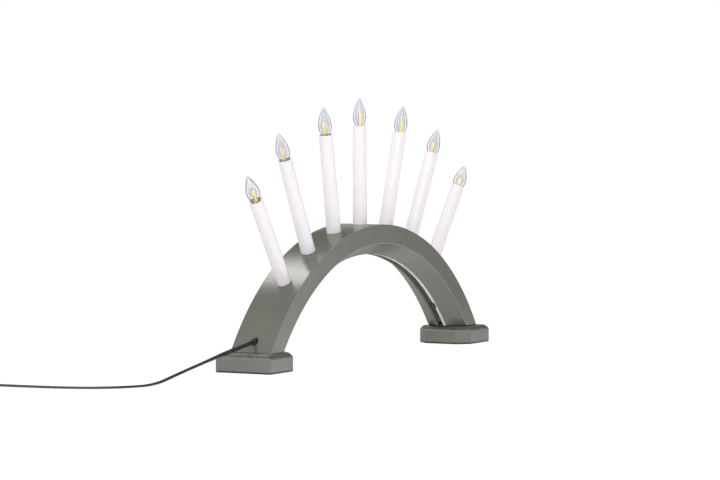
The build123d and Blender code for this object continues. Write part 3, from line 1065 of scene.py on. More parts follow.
PIN_SLEEVE = Finish(
    name="pin_sleeve_black",
    dark=(0.014, 0.014, 0.015), light=(0.024, 0.024, 0.026),
    smooth=0.25, rough=0.36, mottle_scale=200.0,
)
PIN_METAL = Finish(
    name="pin_nickel",
    dark=(0.56, 0.55, 0.51), light=(0.72, 0.71, 0.68),
    smooth=0.12, rough=0.26, metallic=1.0, mottle_scale=240.0,
    grain_stretch=(40.0, 1500.0, 1500.0), grain_height=3 * MICRON,
)
FELT = Finish(
    name="felt_black",
    dark=(0.016, 0.016, 0.015), light=(0.045, 0.044, 0.040),
    smooth=0.85, rough=1.0, mottle_scale=600.0,
    peel_scale=3000.0, peel_height=40 * MICRON,
    sheen=0.35,
)
# Paler paint along rounded edges of the bow and the feet: a painted highlight.
EDGE_HIGHLIGHT_PAINT = Finish(
    name="grey_green_paint_on_edges",
    dark=(0.155, 0.158, 0.136), light=(0.180, 0.183, 0.163),
    smooth=0.2, rough=0.28, mottle_scale=14.0, pattern=Pattern.RING,
    peel_scale=420.0, peel_waves=45.0, peel_height=4 * MICRON,
)
# Paler still along the bow's front upper edge: a painted highlight.
RIM_HIGHLIGHT_PAINT = replace(
    EDGE_HIGHLIGHT_PAINT, name="grey_green_paint_on_rim", dark=(0.21, 0.213, 0.19), light=(0.25, 0.253, 0.23)
)
RED_WIRE = Finish(
    name="wire_red_brown",
    dark=(0.13, 0.035, 0.02), light=(0.30, 0.10, 0.055),
    smooth=0.3, rough=0.5, mottle_scale=140.0,
)
BARE_LAND = Finish(
    name="bare_primed_land",
    dark=(0.46, 0.45, 0.47), light=(0.86, 0.83, 0.91),
    smooth=0.4, rough=0.6, mottle_scale=16.0, pattern=Pattern.RING,
    grain_stretch=(20.0, 600.0, 600.0), grain_height=14 * MICRON,
)
GLASS = GlassFinish(
    name="lamp_glass_clear",
    dark=(0.8075, 0.8075, 0.855), light=(0.85, 0.85, 0.90),
    smooth=0.0, rough=0.03, mottle_scale=90.0,
    peel_scale=140.0, peel_waves=45.0, peel_height=5 * MICRON,
    coat=0.5, coat_roughness=0.04, transmission=1.0, ior=1.03,
)
PHOSPHOR = Finish(
    name="filament_phosphor",
    dark=(1.0, 0.56, 0.04), light=(1.0, 0.75, 0.05),
    smooth=0.45, rough=0.6, mottle_scale=260.0,
    peel_scale=2500.0, peel_waves=600.0, peel_height=12 * MICRON,
    glow=0.7,
)
# Near-black colour of the set-back piece in each leg's gap: painted shadow.
SEAM_SHADOW = Finish(
    name="leg_seam_dark",
    dark=(0.008, 0.008, 0.007), light=(0.018, 0.017, 0.015),
    smooth=0.7, rough=0.9, mottle_scale=300.0,
)


class Wardrobe:
    """Makes each finish's material once and hands it out."""

    def __init__(self, ring: "Ring") -> None:
        """Build the shared groups and start with no material."""
        self.tools = ShaderTools()
        self.ring = ring
        self.made: dict[str, Material] = {}

    def __getitem__(self, finish: Finish) -> Material:
        """Return a finish's material, made when it is first asked for."""
        if finish.name not in self.made:
            self.made[finish.name] = finish.make(self.tools, self.ring)
        return self.made[finish.name]

    def lay_on(self, piece: Piece, coats: Sequence[Finish]) -> None:
        """Give a piece several finishes, which its faces pick by their place in the row."""
        piece.data.materials.clear()
        for finish in coats:
            piece.data.materials.append(self[finish])


# Frames that the pieces share


@dataclass(frozen=True)
class Ring:
    """The circle that the bow follows, in the XZ plane. Angles run from the crown towards +X, in degrees."""

    crown: float = 137.7 * MM
    outer: float = 277.0 * MM

    @property
    def centre(self) -> float:
        """Height of the circle's centre, which lies below the table."""
        return self.crown - self.outer

    def outward(self, angle: float) -> Vector:
        """Direction away from the circle's centre."""
        return Vector((sin(radians(angle)), 0.0, cos(radians(angle))))

    def along(self, angle: float) -> Vector:
        """Direction along the circle, towards +X at the crown."""
        return Vector((cos(radians(angle)), 0.0, -sin(radians(angle))))

    def place(self, radius: float, angle: float, across: float = 0.0) -> Vector:
        """Point at a radius and an angle, at a distance across the bow."""
        return Vector((0.0, across, self.centre)) + self.outward(angle) * radius

    def angle_at(self, radius: float, height: float) -> float:
        """Angle at which a radius has come down to a height, in degrees."""
        return degrees(acos((height - self.centre) / radius))

    def reach(self, origin: Vector, direction: Vector, radius: float) -> float:
        """Distance from a point along a direction to the nearer crossing of a radius."""
        offset = origin - Vector((0.0, 0.0, self.centre))
        closing = offset.dot(direction)
        return -closing - sqrt(closing**2 - offset.dot(offset) + radius**2)


def frame_at(origin: Vector, along: Vector, upright: Vector) -> Matrix:
    """Matrix of a frame at a point, with its X axis along one direction and its Z axis along another."""
    z_axis = upright.normalized()
    y_axis = z_axis.cross(along).normalized()
    x_axis = y_axis.cross(z_axis)
    return Matrix.Translation(origin) @ Matrix((x_axis, y_axis, z_axis)).transposed().to_4x4()


@dataclass(frozen=True)
class CandleRow:
    """Where the candles stand on the bow, and how far each leans to the front or back, in degrees."""

    count: int = 7
    spacing: float = 57.2 * MM
    leans: tuple[float, ...] = (0.9, -2.1, 1.1, -0.3, 3.3, 3.3, 1.7)

    def frame(self, ring: Ring, number: int) -> Matrix:
        """Frame at the foot of a candle, with its Z axis along the candle."""
        angle = degrees((number - (self.count + 1) / 2) * self.spacing / ring.outer)
        lean = radians(self.leans[number - 1])
        upright = ring.outward(angle) * cos(lean) - Vector((0.0, sin(lean), 0.0))
        return frame_at(ring.place(ring.outer, angle), ring.along(angle), upright)

    def frames(self, ring: Ring) -> list[Matrix]:
        """Frames of all the candles, from left to right."""
        return [self.frame(ring, number + 1) for number in range(self.count)]


@dataclass(frozen=True)
class LeadExit:
    """Where the lead leaves the bow: a frame on the back of the left leg, with Z along the lead."""

    ring: Ring
    height: float = 30.1 * MM
    slope: float = 0.137
    bush_depth: float = 18.5 * MM
    bush_nose: float = 4.5 * MM

    @property
    def frame(self) -> Matrix:
        """Frame on the leg's outer face."""
        rise = self.height - self.ring.centre
        origin = Vector((-sqrt(self.ring.outer**2 - rise**2), 0.0, self.height))
        return frame_at(origin, Vector((0.0, 1.0, 0.0)), Vector((-1.0, 0.0, -self.slope)))

    @property
    def start(self) -> Vector:
        """End of the bush, where the free lead begins."""
        return self.frame @ Vector((0.0, 0.0, self.bush_nose))

    def tail_depth(self, groove_radius: float) -> float:
        """How far the lead runs inside the leg before it comes to the groove."""
        inward = self.frame.to_3x3() @ Vector((0.0, 0.0, -1.0))
        return self.ring.reach(self.frame.translation, inward, groove_radius)


# Studio


@dataclass(frozen=True)
class SoftLamp:
    """A soft rectangular lamp that hangs in one direction from the arch and faces it."""

    direction: Place
    distance: float
    size: Pair
    power: float

    def hang(self, name: str, target: Place) -> None:
        """Hang the lamp so that it faces a target."""
        light = bpy.data.lights.new(name, "AREA")
        light.shape = "RECTANGLE"
        light.size, light.size_y = self.size
        light.energy = self.power
        lamp = bpy.data.objects.new(name, light)
        towards = Vector(self.direction).normalized()
        lamp.location = Vector(target) + towards * self.distance
        lamp.rotation_euler = towards.to_track_quat("Z", "Y").to_euler()
        bpy.context.scene.collection.objects.link(lamp)


@dataclass
class Studio:
    """The camera, a pale floor and soft light."""

    camera_place: Place = (-3.0918, -1.6599, 0.2860)
    camera_azimuth: float = -61.77
    camera_pitch: float = -2.69
    focal_length: float = 168.5
    sensor_width: float = 36.0
    target: Place = (0.0, 0.0, 0.14)
    softbox: SoftLamp = SoftLamp(direction=(0.27, 0.473, 0.84), distance=2.5, size=(0.65, 0.6), power=9.5)
    fill: SoftLamp = SoftLamp(direction=(-0.75, -0.35, 0.56), distance=3.0, size=(1.6, 1.6), power=24.0)
    sky_level: float = 0.81
    near_level: float = 1.8
    side_level: float = 0.15
    horizon_level: float = 0.6
    horizon_half: float = 0.3
    ceiling_level: float = 0.12
    ceiling_from: float = 8.0
    ceiling_to: float = 26.0
    far_from: float = -0.45
    far_to: float = 0.15
    floor_size: float = 14.0
    floor_glow: float = 1.09
    floor_near_glow: float = 2.3
    floor_far_glow: float = 0.32
    near_reach: Pair = (0.42, 0.62)
    near_share: float = 0.62
    across_view: Pair = (0.473, 0.881)
    side_range: Pair = (-0.135, -0.05)
    front_range: Pair = (-0.02, 0.04)
    behind_share: float = 0.68
    floor_seen_share: float = 0.8
    floor_lit_share: float = 0.5
    floor_colour: Colour = (0.9, 0.9, 0.9)
    white: Colour = (1.0, 1.0, 1.0)

    def build(self) -> None:
        """Set up the whole studio."""
        self._camera()
        self._world()
        self.softbox.hang("softbox", self.target)
        self.fill.hang("fill_panel", self.target)
        self._floor()
        bpy.context.scene.view_settings.view_transform = "Standard"

    def _camera(self) -> None:
        """Place the camera at the photograph's angle."""
        data = bpy.data.cameras.new("camera")
        data.lens = self.focal_length
        data.sensor_width = self.sensor_width
        data.clip_end = 100.0
        camera = bpy.data.objects.new("camera", data)
        camera.location = self.camera_place
        camera.rotation_euler = (radians(90.0 + self.camera_pitch), 0.0, radians(self.camera_azimuth))
        bpy.context.scene.collection.objects.link(camera)
        bpy.context.scene.camera = camera

    def _world(self) -> None:
        """White surroundings with a dark ceiling, which only reflections show."""
        world = bpy.data.worlds.new("surroundings")
        bpy.context.scene.world = world
        graph = empty_graph(world)
        rays = graph.node("ShaderNodeLightPath").outputs
        x, y, z = graph.parts(graph.node("ShaderNodeTexCoord").outputs["Generated"])
        start, end = sin(radians(self.ceiling_from)), sin(radians(self.ceiling_to))
        half = self.horizon_half
        horizon = graph.ranged(y, self.side_level, self.horizon_level, -half, half)
        ceiling = graph.ranged(z, horizon, self.ceiling_level, start, end)
        shown = graph.ranged(x, self.near_level, ceiling, self.far_from, self.far_to)
        extra = graph.math("SUBTRACT", shown, self.sky_level)
        lit = graph.math("MULTIPLY_ADD", rays["Is Glossy Ray"], extra, self.sky_level)
        seen = self._seen(graph, rays)
        missing = graph.math("SUBTRACT", 1.0, lit)
        strength = graph.math("MULTIPLY_ADD", seen, missing, lit)
        background = graph.node("ShaderNodeBackground", Color=opaque(self.white), Strength=strength)
        graph.node("ShaderNodeOutputWorld", Surface=background.outputs[0])

    @staticmethod
    def _seen(graph: Graph, rays: bpy.types.bpy_prop_collection) -> Socket:
        """Return 1 for what the camera sees directly or through the glass, and 0 for other rays."""
        passed = graph.math("GREATER_THAN", rays["Transmission Depth"], 0.5)
        direct = graph.math("MAXIMUM", rays["Is Camera Ray"], rays["Is Transmission Ray"])
        return graph.math("MAXIMUM", direct, passed)

    def _floor(self) -> None:
        """Lay a white floor that keeps a faint shadow, and that gloss mirrors in a pattern of its own."""
        half = self.floor_size / 2
        corners = [(-half, -half, 0.0), (half, -half, 0.0), (half, half, 0.0), (-half, half, 0.0)]
        floor = mesh_object("floor", corners, [(0, 1, 2, 3)])
        material = bpy.data.materials.new("floor_white")
        graph = empty_graph(material)
        rays = graph.node("ShaderNodeLightPath").outputs
        seen = self._seen(graph, rays)
        mirrored = graph.times(rays["Is Glossy Ray"], graph.math("SUBTRACT", 1.0, seen))
        either = graph.math("MAXIMUM", seen, rays["Is Glossy Ray"])
        share = graph.ranged(either, self.floor_lit_share, self.floor_seen_share)
        strength = graph.ranged(mirrored, self.floor_glow, self._mirrored_glow(graph))
        matt = graph.node("ShaderNodeBsdfDiffuse", Color=opaque(self.floor_colour))
        glow = graph.node("ShaderNodeEmission", Color=opaque(self.white), Strength=strength)
        mix = graph.node("ShaderNodeMixShader", Fac=share)
        graph.put(mix.inputs[1], matt.outputs[0])
        graph.put(mix.inputs[2], glow.outputs[0])
        graph.node("ShaderNodeOutputMaterial", Surface=mix.outputs[0])
        floor.data.materials.append(material)

    def _mirrored_glow(self, graph: Graph) -> Socket:
        """How bright gloss sees the floor: bright to the left and near the arch, and dim behind it."""
        x, y, _ = graph.parts(graph.node("ShaderNodeTexCoord").outputs["Object"])
        along, depth = self.across_view
        aside = graph.math("MULTIPLY_ADD", x, along, graph.times(y, depth))
        side = graph.ranged(aside, 1.0, 0.0, *self.side_range)
        behind = graph.ranged(y, 1.0, self.behind_share, *self.front_range)
        side = graph.times(side, behind)
        reach = graph.math("SQRT", graph.math("MULTIPLY_ADD", x, x, graph.times(y, y)))
        near = graph.ranged(reach, self.near_share, 0.0, *self.near_reach)
        near = graph.times(near, graph.ranged(y, 1.0, 0.0, *self.front_range))
        return graph.ranged(graph.math("MAXIMUM", side, near), self.floor_far_glow, self.floor_near_glow)


# Mains lead and its plug


@dataclass
class Lead:
    """The flat twin lead: its free stretch, and its spare length in a round coil."""

    exit: LeadExit
    width: float = 4.3 * MM
    length: float = 1.576
    lobe_radius: float = 1.1 * MM
    lobe_open_degrees: float = 40.0
    lobe_steps: int = 12
    on_table: float = 1.25 * MM
    upper_layer: float = 3.75 * MM
    coil_centre: Pair = (-439.5 * MM, 194.3 * MM)
    coil_inner_radius: float = 16.7 * MM
    coil_pitch: float = 4.8 * MM
    turns_in: float = 3.5
    turns_out: float = 3.75
    points_per_turn: int = 12
    climb_turns: float = 0.5
    rise_before: float = 0.3
    rise_turns: float = 0.25
    plug_mouth: Place = (-425.0 * MM, 229.0 * MM, 7.0 * MM)
    plug_straight: float = 7.0 * MM
    upright_to: float = 14 * MM
    flat_from: float = 100 * MM
    resolution: int = 10

    def route(self) -> list[Vector]:
        """Control points of the whole lead, listed one by one up to the coil."""
        table = self.on_table
        points = [
            tuple(self.exit.start),
            (-0.2405, 0.0, 0.0271),
            (-0.2630, 0.0002, 0.0240),
            (-0.2960, 0.0, 0.0194),
            (-0.3330, -0.0006, 0.0140),
            (-0.3680, -0.0002, 0.0084),
            (-0.4020, 0.0030, table),
            (-0.4340, 0.0150, table),
            (-0.4565, 0.0400, table),
            (-0.4665, 0.0740, table),
            (-0.4710, 0.1100, table),
            (-0.4727, 0.1430, table),
            (-0.4730, 0.1690, table),
            (-0.4730, 0.1900, table),
        ]
        mouth = Vector(self.plug_mouth)
        ending = [mouth - Vector((self.plug_straight, 0.0, 0.0)), mouth]
        return [Vector(point) for point in points] + self._coil() + ending

    def _coil(self) -> list[Vector]:
        """Corners drawn round the coil's turns: in along the table, up a layer, and out on top."""
        half_step = pi / self.points_per_turn
        turns = self.turns_in + self.turns_out
        corners = []
        for index in range(round(turns * self.points_per_turn)):
            turn = (index + 0.5) / self.points_per_turn
            radius = self.coil_inner_radius + self.coil_pitch * abs(turn - self.turns_in)
            angle = pi - 2 * pi * turn
            climb = clamped((turn - self.turns_in) / self.climb_turns + 0.5)
            rise = clamped((turn - turns + self.rise_before) / self.rise_turns)
            height = self.on_table + climb * (self.upper_layer - self.on_table)
            height += rise * (self.plug_mouth[2] - self.upper_layer)
            reach = radius / cos(half_step)
            x, y = self.coil_centre
            corners.append(Vector((x + reach * cos(angle), y + reach * sin(angle), height)))
        return corners

    def path(self) -> list[Vector]:
        """Points along the smooth line that the control points draw."""
        points = self.route()
        curve = bpy.data.curves.new("lead_route", "CURVE")
        curve.dimensions = "3D"
        spline = curve.splines.new("NURBS")
        spline.points.add(len(points) - 1)
        for control, place in zip(spline.points, points):
            control.co = (*place, 1.0)
        spline.order_u = 3
        spline.use_endpoint_u = True
        spline.resolution_u = self.resolution
        route = bpy.data.objects.new("lead_route", curve)
        bpy.context.scene.collection.objects.link(route)
        graph = bpy.context.evaluated_depsgraph_get()
        mesh = bpy.data.meshes.new_from_object(route.evaluated_get(graph))
        path = [vertex.co.copy() for vertex in mesh.vertices]
        bpy.data.meshes.remove(mesh)
        bpy.data.objects.remove(route)
        bpy.data.curves.remove(curve)
        return path

    def section(self) -> Outline:
        """Outline across the lead: two round cores side by side, with a valley between them."""
        offset = self.width / 2 - self.lobe_radius
        outline: Outline = []
        for side in (1, -1):
            for step in range(self.lobe_steps + 1):
                sweep = 180.0 - self.lobe_open_degrees
                angle = radians(-sweep + 2 * sweep * step / self.lobe_steps)
                across = side * (offset + self.lobe_radius * cos(angle))
                outline.append((across, side * self.lobe_radius * sin(angle)))
        return outline

    def build(self, wardrobe: Wardrobe, carried: Sequence[Piece]) -> None:
        """Sweep the lead along its line, upright where it leaves the bush and flat on the table.

        Args:
            wardrobe: Gives the lead its finish.
            carried: The pieces on the lead; not used.
        """
        path = self.path()
        section = self.section()
        rings = []
        travelled = 0.0
        for index, point in enumerate(path):
            behind, ahead = path[max(index - 1, 0)], path[min(index + 1, len(path) - 1)]
            travelled += (point - behind).length
            tangent = (ahead - behind).normalized()
            side = tangent.cross(Vector((0.0, 0.0, 1.0))).normalized()
            up = side.cross(tangent)
            share = clamped((travelled - self.upright_to) / (self.flat_from - self.upright_to))
            twist = pi / 2 * (1 - share * share * (3 - 2 * share))
            wide = side * cos(twist) + up * sin(twist)
            thick = up * cos(twist) - side * sin(twist)
            rings.append([point + wide * across + thick * through for across, through in section])
        lead = shade(lofted("flat_lead", rings), CORD_CREASE)
        fit(lead, wardrobe[LEAD], "cord", "mains_cord", "cord_coil")
        self.exit.start


@dataclass
class Plug:
    """The flat two-pin plug, with a ribbed sleeve and half-covered pins."""

    sleeve_start: Place = (-424.6 * MM, 229.0 * MM, 7.0 * MM)
    rib_count: int = 5
    rib_step: float = 2.1 * MM
    rib_first_radius: float = 3.1 * MM
    rib_growth: float = 0.24 * MM
    rib_radius: float = 0.42 * MM
    face_x: float = -378.5 * MM
    pin_spacing: float = 18.6 * MM
    pin_radius: float = 2.0 * MM
    pin_length: float = 19.0 * MM
    cover_length: float = 10.0 * MM
    cover_step: float = 0.08 * MM
    tip_rounding: float = 0.8 * MM
    tip_steps: int = 6
    segments: int = 48

    def build(self, geometry: GeometryTools, wardrobe: Wardrobe) -> list[Piece]:
        """Build the plug's pieces and return them with its body."""
        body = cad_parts["plug_body"]
        dress("plug_body", wardrobe[PLUG])
        ribs = mesh_object("plug_sleeve_ribs", [], [])
        geometry.apply(
            ribs,
            geometry.ribs,
            Count=self.rib_count,
            Start=self.sleeve_start,
            Step=(self.rib_step, 0.0, 0.0),
            First_radius=self.rib_first_radius,
            Growth=self.rib_growth,
            Rib=self.rib_radius,
            Material=wardrobe[PLUG],
        )
        fit(shade(ribs, CORD_CREASE), wardrobe[PLUG], "plug")
        cover = [
            (0.0, 0.0),
            (self.pin_radius, 0.0),
            (self.pin_radius, self.cover_length),
            (0.0, self.cover_length),
        ]
        covers = self._pair("pin_covers", cover)
        fit(covers, wardrobe[PIN_SLEEVE], "plug")
        bare = self.pin_radius - self.cover_step
        outline = [
            (0.0, self.cover_length, 0.0),
            (bare, self.cover_length, 0.0),
            (bare, self.pin_length, self.tip_rounding),
            (0.0, self.pin_length, 0.0),
        ]
        pins = self._pair("bare_pins", round_corners(outline, self.tip_steps))
        fit(pins, wardrobe[PIN_METAL], "pins", "plug_pins")
        return [body, ribs, covers, pins]

    def _pair(self, name: str, profile: Outline) -> Piece:
        """Turn a profile and set it out for both pins, along +X."""
        _, y, z = self.sleeve_start
        shapes = []
        for side in (-1, 1):
            origin = Vector((self.face_x, y + side * self.pin_spacing / 2, z))
            shapes.append((profile, frame_at(origin, Vector((0.0, 1.0, 0.0)), Vector((1.0, 0.0, 0.0)))))
        return shade(gathered(name, shapes, self.segments), TURNED_CREASE)


def dress(node: str, material: Material) -> None:
    """Give a CAD node a finish, with its mesh as it is."""
    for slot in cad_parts[node].material_slots:
        slot.material = material


# Wooden frame


@dataclass
class Bow:
    """The arched piece of painted wood, with its bevelled underside, groove and bores."""

    ring: Ring
    row: CandleRow
    exit: LeadExit
    depth: float = 47.4 * MM
    face_height: float = 19.8 * MM
    bevel_height: float = 11.6 * MM
    nose_width: float = 12.0 * MM
    edge_radius: float = 1.1 * MM
    nose_edge_radius: float = 0.5 * MM
    bare_share: float = 0.9
    worn_share: float = 0.6
    crease: float = 28.0
    seam_crease: float = 20.0
    groove_width: float = 6.2 * MM
    groove_depth: float = 9.0 * MM
    stations: int = 240
    foot_top: float = 18.9 * MM
    left_gap: float = 0.35 * MM
    right_gap: float = 1.2 * MM
    seat_radius: float = 7.55 * MM
    seat_depth: float = 6.0 * MM
    wire_bore_radius: float = 3.0 * MM
    lead_bore_radius: float = 2.5 * MM
    bush_bore_radius: float = 3.35 * MM
    seam_inset: float = 1.0 * MM
    seam_sink: float = 1.5 * MM
    overrun: float = 2.0 * MM
    segments: int = 64

    @property
    def face_radius(self) -> float:
        """Radius of the lower edge of the bow's upright faces."""
        return self.ring.outer - self.face_height

    @property
    def nose_radius(self) -> float:
        """Radius of the bow's underside."""
        return self.face_radius - self.bevel_height

    @property
    def groove_radius(self) -> float:
        """Radius of the groove's floor."""
        return self.nose_radius + self.groove_depth

    def build(self, wardrobe: Wardrobe) -> None:
        """Sweep the bow, bore it, and fill the seams over the feet."""
        half, nose, groove = self.depth / 2, self.nose_width / 2, self.groove_width / 2
        right = [
            (half, self.ring.outer, self.edge_radius),
            (half, self.face_radius, self.edge_radius),
            (nose, self.nose_radius, self.nose_edge_radius),
            (groove, self.nose_radius, 0.0),
            (groove, self.groove_radius, 0.0),
        ]
        left = [(-across, radius, rounding) for across, radius, rounding in reversed(right)]
        outline = round_corners(right + left, EDGE_STEPS)
        low, high = self.foot_top + self.left_gap, self.foot_top + self.right_gap
        bow = self._sweep("wooden_bow", outline, low, high)
        bow = shade(cut(bow, [self._bores()]), self.crease)
        self._paint(bow, wardrobe)
        fit(bow, None, "bow", "arch_bow")
        solid = [(across, radius) for across, radius, _ in right[:3]]
        solid += [(-across, radius) for across, radius in reversed(solid)]
        seam = drawn_in(list(reversed(solid)), self.seam_inset)
        for side, gap in ((Side.LEFT, self.left_gap), (Side.RIGHT, self.right_gap)):
            piece = self._seam(side, seam, gap)
            fit(piece, wardrobe[SEAM_SHADOW], "bow")

    def _paint(self, bow: Piece, wardrobe: Wardrobe) -> None:
        """Paint the bow, with bare primer beside the groove and along the back lower edge, and paler paint
        along its front edges as a painted highlight.
        """
        coats = (PAINT, BARE_LAND, EDGE_HIGHLIGHT_PAINT, RIM_HIGHLIGHT_PAINT)
        wardrobe.lay_on(bow, coats)
        half = self.depth / 2
        # Paler paint on the two front edges is a painted highlight; the back lower edge takes the pale
        # primer finish.
        pale_edges = {
            BARE_LAND: (half, self.face_radius),
            EDGE_HIGHLIGHT_PAINT: (-half, self.face_radius),
            RIM_HIGHLIGHT_PAINT: (-half, self.ring.outer),
        }
        for face in bow.data.polygons:
            across = face.center.y
            radius = hypot(face.center.x, face.center.z - self.ring.centre)
            low = radius < self.nose_radius + self.nose_edge_radius * self.bare_share
            if low and -self.nose_width / 2 - self.nose_edge_radius < across < -self.groove_width / 2:
                face.material_index = coats.index(BARE_LAND)
                continue
            for finish, (edge_across, edge_radius) in pale_edges.items():
                if hypot(across - edge_across, radius - edge_radius) < self.edge_radius * self.worn_share:
                    face.material_index = coats.index(finish)

    def _sweep(self, name: str, outline: Outline, low: float, high: float) -> Piece:
        """Sweep an outline round the ring, cut level at a height on the left and one on the right."""
        rings = []
        for station in range(self.stations + 1):
            share = station / self.stations
            ring = []
            for across, radius in outline:
                start, end = -self.ring.angle_at(radius, low), self.ring.angle_at(radius, high)
                ring.append(self.ring.place(radius, start + (end - start) * share, across))
            rings.append(ring)
        return lofted(name, rings)

    def _seam(self, side: Side, outline: Outline, gap: float) -> Piece:
        """Fill the gap between a leg and its foot with a set-back piece, whose near-black colour is painted
        shadow in the gap.
        """
        rings = []
        for height in (self.foot_top, self.foot_top + gap + self.seam_sink):
            ring = []
            for across, radius in outline:
                angle = side.value * self.ring.angle_at(radius, height)
                ring.append(self.ring.place(radius, angle, across))
            rings.append(ring)
        return shade(lofted(f"{side.word}_leg_seam", rings), self.seam_crease)

    def _bores(self) -> Piece:
        """Shapes of the candle seats with their wire bores, and of the lead's way out."""
        through = self.groove_radius - self.ring.outer - self.overrun
        seat = [
            (0.0, through),
            (self.wire_bore_radius, through),
            (self.wire_bore_radius, -self.seat_depth),
            (self.seat_radius, -self.seat_depth),
            (self.seat_radius, self.overrun),
            (0.0, self.overrun),
        ]
        inner = -self.exit.tail_depth(self.groove_radius) - self.overrun
        way_out = [
            (0.0, inner),
            (self.lead_bore_radius, inner),
            (self.lead_bore_radius, -self.exit.bush_depth),
            (self.bush_bore_radius, -self.exit.bush_depth),
            (self.bush_bore_radius, self.exit.bush_nose),
            (0.0, self.exit.bush_nose),
        ]
        shapes = [(seat, place) for place in self.row.frames(self.ring)]
        return gathered("bores", shapes + [(way_out, self.exit.frame)], self.segments)


